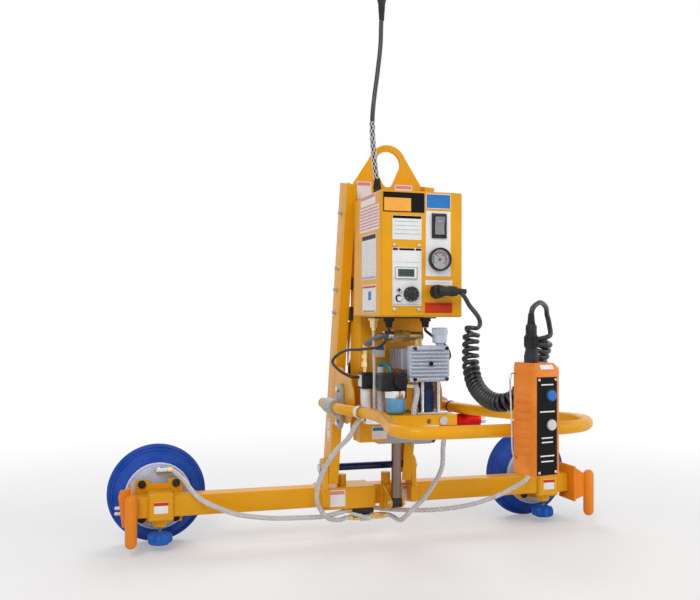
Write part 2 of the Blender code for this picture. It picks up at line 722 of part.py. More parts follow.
def solenoid_valve():
    """Black coil on a metal valve body, with the stack of brass fittings above it."""
    low = SHELF_TOP_Z + GAP
    x, y = -0.0890, -0.2760
    coil = between("solenoid_valve", (-0.103, -0.294, 0.301), (-0.074, -0.258, 0.339),
                   black_plastic(), 0.002)
    extras = [disc("valve_body", 0.0125, 0.303 - low, (x, y, (0.303 + low) / 2), "Z", None, 16)]
    for radius, foot, top, sides in ((0.0060, 0.338, 0.352, 12), (0.0100, 0.351, 0.364, 6),
                                     (0.0065, 0.363, 0.372, 12), (0.0095, 0.371, 0.380, 6),
                                     (0.0065, 0.379, 0.392, 12)):
        extras.append(disc("fitting", radius, top - foot, (x, y, (top + foot) / 2), "Z", None, sides))
    return fuse(coil, *extras)


def vacuum_filter():
    """The filter's black head with its round front, and the blue bowl below it."""
    head = between("filter_head", (-0.083, -0.372, FILTER_HEAD_Z[0]),
                   (-0.0215, -0.326, FILTER_HEAD_Z[1]),
                   black_plastic(), 0.004)
    front = disc("dial", 0.0155, 0.016, (-0.0415, -0.378, 0.3240), "Y", None, 24)
    port = disc("port", 0.0065, 0.020, (-0.0145, -0.362, 0.3120), "X", None, 12)
    ring = disc("collar", 0.0250, 0.016, (-0.042, -0.350, 0.2935), "Z", None, 28)
    elbow = pipe("elbow", [(-0.0520, -0.3400, FILTER_HEAD_Z[1] - 0.003), (-0.0520, -0.3400, 0.3500),
                           (-0.0580, -0.3250, 0.3610), (*RISER_AT, 0.3590),
                           (*RISER_AT, RISER_TOP_Z + GAP)], 0.0062,
                 black_plastic(), 0.008)
    fuse(head, front, port, ring, elbow)
    top, low = 0.2855 - GAP, SHELF_TOP_Z + GAP
    profile = [(0.0, top), (0.0215, top), (0.0225, top - 0.003), (0.0215, low + 0.008),
               (0.017, low + 0.002), (0.012, low), (0.0, low)]
    bowl = turned("filter_bowl", profile, (-0.042, -0.350, 0), "Z",
                  material("blue_bowl", (0.12, 0.42, 0.75), 0.2), 28)
    return head, bowl


def air_silencer():
    """The red ribbed cylinder on the shelf's right end, with its end fitting."""
    finish = material("red_anodised", (0.55, 0.02, 0.02), 0.3, 0.6)
    x0 = SHELF_X[1] + GAP
    y = -0.292
    z = HANDLE_Z - HANDLE_RADIUS - 0.0150 - 2 * GAP
    body = disc("air_silencer", 0.0150, 0.100, (x0 + 0.050, y, z), "X", finish, 20)
    ribs = [disc("band", 0.0165, 0.006, (x0 + at, y, z), "X", None, 20) for at in (0.005, 0.094)]
    fitting = disc("fitting", 0.0095, 0.016, (x0 + 0.107, y, z), "X", None, 6)
    return fuse(body, *ribs, fitting)


def reservoir():
    """The slim upright cylinder behind the trunk, clipped on the cross bar."""
    finish = material("chrome", (0.7, 0.7, 0.72), 0.15, 1.0)
    radius = 0.0112
    y = TRUNK_BACK_Y + 0.004 + GAP + radius
    profile = [(0.0, 0.462), (0.006, 0.462), (0.006, 0.455), (radius, 0.452), (radius, 0.345),
               (0.0095, 0.344), (0.0095, 0.288), (0.007, 0.285), (0.0, 0.285)]
    return turned("reservoir", profile, (-0.0725, y, 0), "Z", finish, 20)


def actuator():
    """Gearbox with its housing tube and top eye, the motor, and the rod with its end eye."""
    grey = material("gearbox_grey", (0.45, 0.46, 0.47), 0.45, 0.6)
    low, high = GEARBOX_Z
    box = between("actuator_gearbox", (-0.010, -0.135, low), (0.085, -0.058, high), grey, 0.003)
    tube_top = MOUNT_Z - 0.018
    tube = disc("tube", TUBE_RADIUS, tube_top - high + 0.01,
                (ACTUATOR_X, PIN_Y, (tube_top + high - 0.01) / 2), "Z", None, 20)
    eye = disc("eye", 0.0105, 0.0190, (ACTUATOR_X, PIN_Y, MOUNT_Z), "X", None, 20)
    neck = between("neck", (ACTUATOR_X - 0.0095, PIN_Y - 0.0080, tube_top - 0.004),
                   (ACTUATOR_X + 0.0095, PIN_Y + 0.0080, MOUNT_Z), None)
    fuse(box, tube, eye, neck)
    hanger_hole = disc("hole", 0.005 + GAP, 0.04, (ACTUATOR_X, PIN_Y, MOUNT_Z), "X", None, 16)
    bore_top = tube_top - 0.008
    bore = disc("bore", ROD_RADIUS + 2 * GAP, bore_top - low + 0.01,
                (ACTUATOR_X, PIN_Y, (bore_top + low - 0.01) / 2), "Z", None, 20)
    cut(box, hanger_hole, bore)
    motor_x = 0.085 + GAP
    motor = turned("actuator_motor", [(0.0, 0.066), (0.0165, 0.066), (0.0185, 0.064),
                                      (0.0185, 0.056), (0.0200, 0.055), (0.0200, 0.0),
                                      (0.0, 0.0)],
                   (motor_x, -0.112, 0.161), "X", grey, 24)
    rod = disc("actuator_rod", ROD_RADIUS, 0.235, (ACTUATOR_X, PIN_Y, 0.1175 + 0.002), "Z",
               material("polished_rod", (0.10, 0.09, 0.09), 0.12, 1.0), 24)
    end = disc("end", 0.0125, 2 * ROD_RADIUS, (ACTUATOR_X, PIN_Y, PIN_Z), "X", None, 24)
    shank = between("shank", (ACTUATOR_X - 0.0095, PIN_Y - 0.0085, PIN_Z),
                    (ACTUATOR_X + 0.0095, PIN_Y + 0.0085, 0.004), None)
    fuse(rod, end, shank)
    return box, motor, rod


def crossarm():
    """Beam, centre block, two ears on the shaft, two stop pegs and the actuator's clevis."""
    paint = yellow_paint()
    half = BEAM / 2
    body = between("crossarm", (-BEAM_HALF_LENGTH, -half, -half),
                   (BEAM_HALF_LENGTH, half, half), paint, 0.003)
    extras = [between("centre_block", (BLOCK_X[0], -BODY_Y, BLOCK_Z[0]),
                      (BLOCK_X[1], BODY_Y, BLOCK_Z[1]), None, 0.002)]
    for x in PEG_X:
        low = BLOCK_Z[0] / 4
        extras.append(disc("peg", PEG_RADIUS, PEG_TOP - low, (x, -0.006, (PEG_TOP + low) / 2),
                           "Z", None, 16))
    ear_half = EAR_WIDTH / 2
    for side in (-1, 1):
        x = side * (LEG_OUTER_X + 0.001 + EAR_THICK / 2)
        outline = [(PIVOT_Y + ear_half, 0.010), *arc((PIVOT_Y, PIVOT_Z), ear_half, 0, 180, 10),
                   (PIVOT_Y - ear_half, 0.010)]
        extras.append(outline_plate("ear", outline, EAR_THICK, "YZ", x, paint))
        extras.append(between("ear_foot", (x - EAR_THICK / 2 - 0.004, PIVOT_Y - ear_half - 0.002,
                                           -0.020),
                              (x + EAR_THICK / 2 + 0.004, 0.0, 0.022), None, 0.002))
    for side in (-1, 1):
        x = ACTUATOR_X + side * (CLEVIS_INNER + CLEVIS_THICK / 2)
        outline = [(-half + 0.006, 0.020), (-half - 0.006, 0.024),
                   *arc((PIN_Y, PIN_Z), 0.0115, 100, 260, 8), (-half - 0.006, -0.040),
                   (-half + 0.006, -0.022)]
        extras.append(outline_plate("clevis", outline, CLEVIS_THICK, "YZ", x, paint))
        head_x = ACTUATOR_X + side * (CLEVIS_INNER + CLEVIS_THICK + 0.002)
        extras.append(hex_head(0.0065, 0.006, (head_x, PIN_Y, PIN_Z), "X", None))
    extras.append(between("clevis_plate", (ACTUATOR_X - 0.024, -half - 0.006, -0.038),
                          (ACTUATOR_X + 0.024, -half + 0.004, 0.0225), None))
    fuse(body, *extras)
    bores = []
    for side in (-1, 1):
        bores.append(disc("bore", SHAFT_RADIUS + RUNNING / 2, 0.03,
                          (side * (LEG_OUTER_X + 0.007), PIVOT_Y, PIVOT_Z), "X", None))
    return cut(body, *bores)


def ball_valve():
    """Porting block under the centre block, with the ball valve across it."""
    metal = bright_steel()
    top = BLOCK_Z[0] - GAP
    body = disc("ball_valve", 0.0115, 0.0240, (-0.009, -0.030, -0.0550), "X", metal, 20)
    extras = [disc("left_end", 0.0090, 0.022, (-0.031, -0.030, -0.0550), "X", None, 6),
              disc("right_end", 0.0090, 0.038, (0.0215, -0.030, -0.0550), "X", None, 6),
              between("porting", (-0.044, -0.044, -0.0440), (0.011, -0.012, top), None, 0.001),
              disc("stem", 0.0040, 0.0185, (-0.004, -0.0380, -0.0550), "Y", None, 12)]
    return fuse(body, *extras)


VALVE_STEM = (-0.004, -0.0550)


def valve_lever():
    """The flat lever that turns on the valve's stem."""
    x, z = VALVE_STEM
    lean = math.radians(17)
    reach = 0.048
    across = 0.0042
    way = Vector((-math.cos(lean), math.sin(lean)))
    side = Vector((way.y, -way.x))
    hub = Vector((x, z))
    tip = hub + way * reach
    outline = [tuple(hub - side * across - way * 0.006), tuple(tip - side * across),
               tuple(tip + way * 0.003), tuple(tip + side * across),
               tuple(hub + side * across - way * 0.006)]
    y = -0.0380 - 0.00925 - GAP - 0.00125
    return outline_plate("valve_lever", outline, 0.0025, "XZ", y, bright_steel())


def pad(name, side):
    """The rubber cup: a ring lip that faces +Y, and a web that the pad plate backs."""
    rubber = material("pad_rubber", PAD_BLUE, 0.55)
    back = PLATE_Y[1] + GAP
    lip = PAD_LIP_RADIUS
    profile = [(0.0, 0.0715), (0.078, 0.0715), (0.098, 0.0850), (lip - PAD_LIP_WIDTH, PAD_FACE_Y),
               (lip, PAD_FACE_Y), (lip, PAD_FACE_Y - 0.006), (0.114, 0.0850), (0.100, 0.0680),
               (0.090, back), (0.0, back)]
    cup = turned(name, profile, (side * PAD_X, 0, PAD_Z), "Y", rubber, 40)
    return cup


def pad_plate(name, side):
    """The plate behind the cup, its four bushed studs and its hose port."""
    finish = material("pad_plate_grey", (0.55, 0.56, 0.58), 0.45, 0.5)
    x = side * PAD_X
    low, high = PLATE_Y
    profile = [(0.0, high), (PLATE_RADIUS, high), (PLATE_RADIUS, low + 0.001),
               (PLATE_RADIUS - 0.002, low), (0.0, low)]
    body = turned(name, profile, (x, 0, PAD_Z), "Y", finish, 36)
    face = BEAM / 2 + RUNNING + SLEEVE_WALL - 0.0005
    extras = []
    for sx in (-1, 1):
        for sz in (-1, 1):
            at = (x + sx * BUSH_SPACING_X / 2, 0, FLANGE_Z + sz * BUSH_SPACING_Z / 2)
            stud = disc("stud", BUSH_RADIUS, low + 0.002 - (face - 0.002),
                        (at[0], (low + face) / 2, at[2]), "Y", None, 12)
            head = disc("stud_head", 0.0100, 0.005, (at[0], face - GAP - 0.0025, at[2]), "Y", None,
                        12)
            extras += [stud, head]
    extras.append(disc("port", 0.0085, 0.018, (x, low - 0.007, PAD_Z + 0.066), "Y", None, 12))
    extras.append(disc("elbow", 0.0070, 0.026, (x - side * 0.008, low - 0.0165, PAD_Z + 0.066), "X",
                       None, 12))
    return fuse(body, *extras)


def carrier(name, side):
    """The sleeve that slides on the beam, its flange and the clamp screw's boss."""
    paint = yellow_paint()
    inner = BEAM / 2 + RUNNING
    outer = inner + SLEEVE_WALL
    x = side * PAD_X
    body = block(name, (SLEEVE_LENGTH, 2 * outer, 2 * outer), (x, 0, 0), paint, 0.004)
    face = outer - 0.0005
    flange = between("flange", (x - FLANGE_WIDTH / 2, face, FLANGE_Z - FLANGE_HEIGHT / 2),
                     (x + FLANGE_WIDTH / 2, face + FLANGE_THICK, FLANGE_Z + FLANGE_HEIGHT / 2),
                     None)
    dent = [block("dent", (0.046, 0.03, 0.022), (x, face, FLANGE_Z + FLANGE_HEIGHT / 2), None)]
    cut(flange, *dent)
    boss = disc("boss", 0.0200, 0.018, (x, 0, -outer - 0.008), "Z", None, 24, 0.0165)
    boss.rotation_euler = (math.pi, 0, 0)
    fuse(body, flange, boss)
    cuts = [block("way", (1.5 * SLEEVE_LENGTH, 2 * inner, 2 * inner), (x, 0, 0), None),
            disc("screw_hole", 0.0052, 0.05, (x, 0, -outer), "Z", None, 16)]
    for sx in (-1, 1):
        for sz in (-1, 1):
            cuts.append(disc("bush_hole", BUSH_RADIUS + GAP, 0.03,
                             (x + sx * BUSH_SPACING_X / 2, face,
                              FLANGE_Z + sz * BUSH_SPACING_Z / 2), "Y", None, 12))
    return cut(body, *cuts)


def clamp_knob(name, side):
    """The six-lobed hand knob with its screw, which bears on the beam's underside."""
    finish = material("knob_blue", (0.01, 0.10, 0.38), 0.35)
    x = side * PAD_X
    outline = []
    lobes, steps = 6, 36
    for i in range(steps):
        angle = 2 * math.pi * i / steps
        radius = KNOB_RADIUS - 0.0035 + 0.0035 * math.cos(lobes * angle)
        outline.append((x + radius * math.cos(angle), radius * math.sin(angle)))
    body = outline_plate(name, outline, 0.026, "XY", -0.092, finish)
    top = -BEAM / 2 - GAP
    hub = disc("hub", 0.0140, 0.020, (x, 0, -0.0745), "Z", None, 20)
    screw = disc("screw", 0.0048, top + 0.092, (x, 0, (top - 0.092) / 2), "Z", None, 16)
    return fuse(body, hub, screw)


QUARTER = [math.pi / 2 * step / 4 for step in range(5)]


def end_handle(name, side, bar_x, bar_y):
    """The grip bar at the beam's end, on a plate that closes the tube."""
    paint = orange_paint()
    low_x = BEAM_HALF_LENGTH + GAP
    high_x = low_x + 0.006
    xs = sorted((side * low_x, side * high_x))
    plate = between(name, (xs[0], -0.055, -0.048), (xs[1], 0.026, 0.050), paint, 0.001)
    radius = 0.0145
    top, foot = 0.038 - radius, -0.092 + radius
    profile = [(radius * math.cos(a), top + radius * math.sin(a)) for a in QUARTER[::-1]]
    profile += [(radius * math.cos(a), foot - radius * math.sin(a)) for a in QUARTER]
    bar = turned("bar", profile, (bar_x, bar_y, 0), "Z", None, 20)
    extras = [bar]
    for y, z in ((-0.012, 0.002), (0.006, -0.014)):
        extras.append(hex_head(0.0065, 0.008, (side * (high_x + 0.003), y, z), "X", None))
    if abs(bar_x) > high_x:
        web = [(side * (low_x + 0.003), 0.049), (bar_x, 0.018), (bar_x, -0.030),
               (side * (low_x + 0.003), -0.047)]
        extras.append(outline_plate("web", web, 0.006, "XZ", bar_y + 0.002, paint))
    return fuse(plate, *extras)


BUTTON_HEIGHTS = (0.3240, 0.2700)
BUTTON_TRAVEL = 0.003


def pendant_case():
    """The hand control, with the hook on its back that hangs it on the handlebar."""
    paint = orange_paint()
    width, depth, height = PENDANT
    half_w, half_d = width / 2, depth / 2
    outline = [(-half_w, -half_d), (half_w, -half_d), (half_w, half_d * 0.75),
               (half_w * 0.7, half_d), (-half_w * 0.7, half_d), (-half_w, half_d * 0.75)]
    body = outline_plate("pendant_case", outline, height, "XY", 0, paint)
    body.rotation_euler = (0, 0, PENDANT_TURN)
    body.location = PENDANT_AT
    slope = block("slope", (0.1, 0.05, 0.03), (0, half_d + 0.010, height / 2 + 0.004), None,
                  turn=(math.radians(-35), 0, 0))
    slope.matrix_world = (Matrix.Translation(PENDANT_AT) @ Matrix.Rotation(PENDANT_TURN, 4, "Z")
                          @ Matrix.Translation((0, half_d + 0.014, height / 2 + 0.006))
                          @ Matrix.Rotation(math.radians(-40), 4, "X"))
    wells = []
    for height_z in BUTTON_HEIGHTS:
        well = disc("well", 0.0104, 0.02, (0, 0, 0), "Y", None)
        well.matrix_world = (Matrix.Translation(PENDANT_AT) @ Matrix.Rotation(PENDANT_TURN, 4, "Z")
                             @ Matrix.Translation((0.006, BUTTON_TRAVEL + 0.0004 - 0.01 - half_d,
                                                   height_z - PENDANT_AT[2])))
        wells.append(well)
    cut(body, slope, *wells)
    x = PENDANT_AT[0]
    tube_y, over = -0.683, HANDLE_Z + HANDLE_RADIUS + 2 * GAP
    strap = between("strap", (x - 0.012, -0.712, over), (x + 0.012, tube_y + 0.0165, over + 0.003),
                    None)
    hook = between("hook", (x - 0.0115, tube_y + HANDLE_RADIUS + 0.0008, over - 0.020),
                   (x + 0.0115, tube_y + 0.0160, over + 0.0015), None)
    return fuse(body, strap, hook)


def pendant_button(name, height, finish):
    """A round push button on the pendant's front."""
    width, depth, _ = PENDANT
    at = (Matrix.Translation(PENDANT_AT) @ Matrix.Rotation(PENDANT_TURN, 4, "Z")
          @ Vector((0.006, -depth / 2, height - PENDANT_AT[2])))
    profile = [(0.0, 0.0075), (0.0085, 0.0075), (0.0100, 0.0060), (0.0100, 0.0), (0.0, 0.0)]
    button = turned(name, profile, at, "Y", finish, 24)
    button.rotation_euler = (math.pi / 2, 0, PENDANT_TURN)
    return button


def pendant_connector():
    """The cord's screwed connector on the pendant's top."""
    low = PENDANT_AT[2] + PENDANT[2] / 2 + GAP
    top = low + 0.072
    profile = [(0.0, top), (0.0080, top), (0.0105, top - 0.004), (0.0105, top - 0.020),
               (0.0125, top - 0.022), (0.0125, low + 0.028), (0.0105, low + 0.026),
               (0.0135, low + 0.012), (0.0135, low), (0.0, low)]
    return turned("pendant_connector", profile, (0.086, -0.736, 0), "Z", black_plastic(), 20)


# Cord and hose routes, in the working frame
COIL_ROUTE = [(0.1040, -0.4500, 0.4560), (0.1040, -0.4500, 0.4450), (0.0980, -0.4500, 0.4280),
              (0.0940, -0.4550, 0.3960), (0.0900, -0.4650, 0.3610), (0.0840, -0.5000, 0.3230),
              (0.0810, -0.5600, 0.3000), (0.0850, -0.6150, 0.2960), (0.1010, -0.6400, 0.3060),
              (0.1250, -0.6500, 0.3360), (0.1430, -0.6550, 0.3740), (0.1510, -0.6640, 0.4130),
              (0.1520, -0.6650, 0.4270), (0.1520, -0.6650, 0.4380)]
TAIL_START = [(0.0705, -0.4324, 0.5245), (0.0800, -0.4324, 0.5245), (0.0950, -0.4370, 0.5120),
              (0.1030, -0.4450, 0.4880), (0.1040, -0.4500, 0.4690), (0.1040, -0.4500, 0.4564)]
TAIL_END = [(0.1520, -0.6650, 0.4384), (0.1520, -0.6650, 0.4480), (0.1520, -0.6780, 0.4700),
            (0.1380, -0.6990, 0.4880), (0.1120, -0.7220, 0.4960), (0.0900, -0.7360, 0.4860),
            (0.0860, -0.7360, 0.4700), (0.0860, -0.7360, 0.4560)]
COIL_RADIUS = 0.0195
TAIL_RADIUS = 0.0042
SUPPLY_ROUTE = [(-0.0500, -0.2400, 0.7739), (-0.0500, -0.2400, 0.7850), (-0.0560, -0.2400, 0.8300),
                (-0.0620, -0.2400, 0.9000), (-0.0620, -0.2400, 0.9500), (-0.0570, -0.2400, 1.0000),
                (-0.0490, -0.2400, 1.0600), (-0.0420, -0.2400, 1.1300), (-0.0400, -0.2400, 1.2150)]
SUPPLY_RADIUS = 0.0055
PAD_HOSE_LEFT = [(0.0217 - PAD_X, 0.0365, 0.0780), (0.0325 - PAD_X, 0.0365, 0.0780),
                 (0.0565 - PAD_X, 0.0000, 0.0600), (0.0725 - PAD_X, -0.0400, 0.0400),
                 (0.0975 - PAD_X, -0.0600, 0.0170), (-0.732 * PAD_X, -0.0600, -0.0060),
                 (-0.645 * PAD_X, -0.0600, -0.0234), (-0.507 * PAD_X, -0.0600, -0.0360),
                 (-0.376 * PAD_X, -0.0600, -0.0400), (-0.1300, -0.0560, -0.0420),
                 (-0.0800, -0.0380, -0.0390), (-0.0600, -0.0280, -0.0375),
                 (-0.0446, -0.0280, -0.0375)]
PAD_HOSE_RIGHT = [(PAD_X - 0.0217, 0.0365, 0.0780), (PAD_X - 0.0325, 0.0365, 0.0780),
                  (PAD_X - 0.0445, 0.0000, 0.0600), (PAD_X - 0.0605, -0.0400, 0.0430),
                  (PAD_X - 0.0875, -0.0600, 0.0200), (0.751 * PAD_X, -0.0600, -0.0020),
                  (0.657 * PAD_X, -0.0600, -0.0200), (0.535 * PAD_X, -0.0580, -0.0360),
                  (0.413 * PAD_X, -0.0560, -0.0430), (0.1600, -0.0500, -0.0450),
                  (0.1100, -0.0260, -0.0470), (0.0700, -0.0060, -0.0470),
                  (0.0480, -0.0065, -0.0440), (0.0330, -0.0110, -0.0400),
                  (0.0220, -0.0180, -0.0372), (0.0116, -0.0180, -0.0372)]
VALVE_HOSE_LEFT = [(-0.0912, -0.2680, 0.2310), (-0.0985, -0.2680, 0.2310),
                   (-0.1080, -0.2560, 0.2120), (-0.1160, -0.2280, 0.1800),
                   (-0.1330, -0.1850, 0.1450), (-0.1500, -0.1500, 0.1000),
                   (-0.1600, -0.1180, 0.0500), (-0.1540, -0.0950, 0.0000),
                   (-0.1250, -0.0760, -0.0400), (-0.0850, -0.0450, -0.0560),
                   (-0.0600, -0.0300, -0.0550), (-0.0424, -0.0300, -0.0550)]
VALVE_HOSE_RIGHT = [(SHELF_X[1] + GAP, -0.2620, 0.2320), (0.0985, -0.2620, 0.2320),
                    (0.1080, -0.2590, 0.2130), (0.1230, -0.2420, 0.1780), (0.1390, -0.2000, 0.1420),
                    (0.1530, -0.1560, 0.0790), (0.1240, -0.1280, 0.0110), (0.0910, -0.1160, -0.0250),
                    (0.0700, -0.1040, -0.0500), (0.0690, -0.0720, -0.0600),
                    (0.0680, -0.0450, -0.0590), (0.0570, -0.0300, -0.0550),
                    (0.0410, -0.0300, -0.0550)]
HOSE_RADIUS = 0.0060


def hoses():
    """The clear hoses of the crossarm and the hoses and cables of the pump group."""
    clear = material("clear_hose", (0.72, 0.70, 0.62), 0.25)
    pipe("pad_hose_left", PAD_HOSE_LEFT, HOSE_RADIUS, clear, 0.030)
    pipe("pad_hose_right", PAD_HOSE_RIGHT, HOSE_RADIUS, clear, 0.030)
    pipe("valve_hose_left", VALVE_HOSE_LEFT, HOSE_RADIUS, clear, 0.030)
    pipe("valve_hose_right", VALVE_HOSE_RIGHT, HOSE_RADIUS, clear, 0.030)
    pipe("riser_hose", [(*RISER_AT, SHELF_TOP_Z + GAP), (*RISER_AT, 0.300),
                        (*RISER_AT, RISER_TOP_Z)], 0.0085, clear, 0.03)
    pipe("filter_hose", [(-0.0040, -0.3620, 0.3120), (0.0010, -0.3620, 0.3120),
                         (0.0045, -0.3635, 0.3020), (0.0010, -0.3680, 0.2850),
                         (-0.0055, -0.3740, 0.2690), (-0.0080, -0.3760, 0.2580),
                         (-0.0080, -0.3760, SHELF_TOP_Z + GAP)], 0.0065, clear, 0.012)


def pump_cables():
    """Two black cables, from the glands to the pump and to the valve's coil."""
    black = material("cable_black", BLACK, 0.5)
    pipe("coil_cable", [(-0.051, -0.330, 0.4428), (-0.051, -0.330, 0.4360),
                        (-0.070, -0.330, 0.4020), (-0.105, -0.300, 0.3930),
                        (-0.134, -0.255, 0.3880), (-0.156, -0.230, 0.3640),
                        (-0.144, -0.245, 0.3420), (-0.120, -0.272, 0.3270),
                        (-0.1034, -0.272, 0.3270)], 0.0034, black, 0.018)
    pipe("motor_cable", [(0.038, -0.330, 0.4428), (0.038, -0.330, 0.4370),
                         (0.060, -0.325, 0.4220), (0.0900, -0.325, 0.4020),
                         (0.1040, -0.320, 0.3750), (0.0900, -0.312, 0.3625),
                         (0.0665, -0.312, 0.3625)], 0.0034, black, 0.018)


def cords():
    """The pendant's curly cord, its two straight ends, and the supply cord with its plug."""
    black = material("cord_black", BLACK, 0.5)
    pipe("curly_cord", COIL_ROUTE, COIL_RADIUS, black, 0.028)
    pipe("cord_tail_box", TAIL_START, TAIL_RADIUS, black, 0.016)
    pipe("cord_tail_pendant", TAIL_END, TAIL_RADIUS, black, 0.016)
    pipe("supply_cord", SUPPLY_ROUTE, SUPPLY_RADIUS, black, 0.028)
    end = SUPPLY_ROUTE[-1]
    low = end[2] + GAP
    profile = [(0.0, low + 0.062), (0.0165, low + 0.062), (0.0180, low + 0.060),
               (0.0180, low + 0.030), (0.0120, low + 0.018), (0.0080, low), (0.0, low)]
    return turned("supply_plug", profile, (end[0], end[1], 0), "Z", black, 20)


def joint_empty(name, at, carrier_frame):
    """An empty on a joint's axis, carried by the empty of the body that holds it."""
    frame = bpy.data.objects.new(name, None)
    parts.objects.link(frame)
    frame.location = at
    if carrier_frame is not None:
        attach(frame, carrier_frame)
    return frame


def attach(piece, frame):
    """Parents a piece to a joint's empty and leaves it where it is."""
    bpy.context.view_layer.update()
    place = piece.matrix_world.copy()
    piece.parent = frame
    piece.matrix_parent_inverse = frame.matrix_world.inverted()
    piece.matrix_world = place


def build():
    """Makes every piece, then hangs the moving ones on their joints' empties."""
    sides = {"left": -1, "right": 1}
    for word, side in sides.items():
        leg(f"{word}_leg", side)
        handle_clamp(f"handle_clamp_{word}", side)
    lifting_bail()
    trunk()
    pump_shelf()
    handlebar()
    pivot_shaft()
    control_box()
    box_lid()
    rocker = rocker_switch()
    _, needle = gauge()
    button = test_button()
    box_fittings()
    pendant_plug()
    pump_base()
    pump_head()
    pump_motor()
    intake_filter()
    check_valve()
    solenoid_valve()
    vacuum_filter()
    air_silencer()
    reservoir()
    gearbox, motor, rod = actuator()
    arm = crossarm()
    valve = ball_valve()
    lever = valve_lever()
    pads = {}
    for word, side in sides.items():
        pads[word] = [pad(f"pad_{word}", side), pad_plate(f"pad_plate_{word}", side),
                      carrier(f"pad_carrier_{word}", side)]
    knobs = {word: clamp_knob(f"clamp_knob_{word}", side) for word, side in sides.items()}
    ends = [end_handle(f"end_handle_{word}", side, side * (BEAM_HALF_LENGTH + GRIP_OUT[word]), GRIP_Y)
            for word, side in sides.items()]
    pendant_case()
    up = pendant_button("up_button", BUTTON_HEIGHTS[0],
                        material("button_blue", (0.03, 0.25, 0.65), 0.35))
    down = pendant_button("down_button", BUTTON_HEIGHTS[1],
                          material("button_white", (0.8, 0.8, 0.8), 0.35))
    pendant_connector()
    hoses()
    pump_cables()
    cords()

    tilt = joint_empty("tilt_axis", (0, PIVOT_Y, PIVOT_Z), None)
    swing = joint_empty("actuator_swing_axis", (ACTUATOR_X, PIN_Y, MOUNT_Z), None)
    stroke = joint_empty("actuator_stroke_axis", (ACTUATOR_X, PIN_Y, PIN_Z), swing)
    pad_hoses = [bpy.data.objects[f"pad_hose_{word}"] for word in sides]
    for piece in (arm, valve, *ends, *pad_hoses):
        attach(piece, tilt)
    for piece in (gearbox, motor):
        attach(piece, swing)
    attach(rod, stroke)
    stem = joint_empty("valve_lever_axis", (VALVE_STEM[0], -0.038, VALVE_STEM[1]), tilt)
    attach(lever, stem)
    for word, side in sides.items():
        slide = joint_empty(f"pad_slide_{word}", (side * PAD_X, 0, 0), tilt)
        for piece in pads[word]:
            attach(piece, slide)
        turn = joint_empty(f"knob_axis_{word}", (side * PAD_X, 0, -0.092), slide)
        attach(knobs[word], turn)
    panel = ((rocker, "rocker_axis", (0.0395, PANEL_FACE_Y - 0.0036, 0.671)),
             (needle, "needle_axis", (GAUGE_X, PANEL_FACE_Y, GAUGE_Z)),
             (button, "test_button_axis", tuple(button.location)),
             (up, "up_button_axis", tuple(up.location)),
             (down, "down_button_axis", tuple(down.location)))
    for piece, name, at in panel:
        attach(piece, joint_empty(name, at, None))
    origin = joint_empty("lifting_eye_origin", (0, 0, 0), None)
    for piece in list(parts.objects):
        if piece.parent is None and piece is not origin:
            attach(piece, origin)
    origin.location = (0, -EYE_Y, -EYE_Z)


build()
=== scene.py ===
import json
import math

import bmesh
import bpy
from mathutils import Matrix, Vector


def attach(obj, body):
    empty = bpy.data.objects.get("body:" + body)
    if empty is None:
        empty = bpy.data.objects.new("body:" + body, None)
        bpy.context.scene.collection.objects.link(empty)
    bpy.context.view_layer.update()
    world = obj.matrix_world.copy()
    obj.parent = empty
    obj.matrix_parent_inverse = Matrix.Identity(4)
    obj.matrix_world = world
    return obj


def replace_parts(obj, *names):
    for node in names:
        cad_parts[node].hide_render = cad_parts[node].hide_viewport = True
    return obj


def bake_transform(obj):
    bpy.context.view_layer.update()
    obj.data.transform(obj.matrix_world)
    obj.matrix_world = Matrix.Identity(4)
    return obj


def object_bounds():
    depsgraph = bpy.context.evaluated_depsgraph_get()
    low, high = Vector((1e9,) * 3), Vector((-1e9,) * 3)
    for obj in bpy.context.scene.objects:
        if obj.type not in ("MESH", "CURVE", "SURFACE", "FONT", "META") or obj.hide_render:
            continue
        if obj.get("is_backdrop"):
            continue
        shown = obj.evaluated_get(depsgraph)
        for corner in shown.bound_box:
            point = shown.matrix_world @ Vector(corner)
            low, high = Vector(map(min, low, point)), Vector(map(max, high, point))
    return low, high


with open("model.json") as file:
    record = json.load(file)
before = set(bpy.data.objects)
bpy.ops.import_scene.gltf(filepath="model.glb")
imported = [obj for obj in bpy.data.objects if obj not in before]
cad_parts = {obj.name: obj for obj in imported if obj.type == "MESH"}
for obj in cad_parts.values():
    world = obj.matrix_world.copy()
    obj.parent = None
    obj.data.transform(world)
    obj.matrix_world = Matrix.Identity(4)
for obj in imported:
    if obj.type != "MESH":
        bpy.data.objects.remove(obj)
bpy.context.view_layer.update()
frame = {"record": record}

# The working frame of the part's source has its origin in the middle of the crossarm beam.
EYE = Vector((0.0, -0.17, 0.845))


def at(x, y, z):
    """A point of the working frame, in the row frame."""
    return Vector((x, y, z)) - EYE


# Camera, solved from the photograph: its place, and its turn, pitch and roll in radians
CAMERA_AT = at(-0.7156, -2.174, 0.4683)
CAMERA_TURN = 0.3003
CAMERA_PITCH = 0.0191
CAMERA_ROLL = 0.0038
FOCAL_PIXELS = 857.69
IMAGE_WIDTH = 700


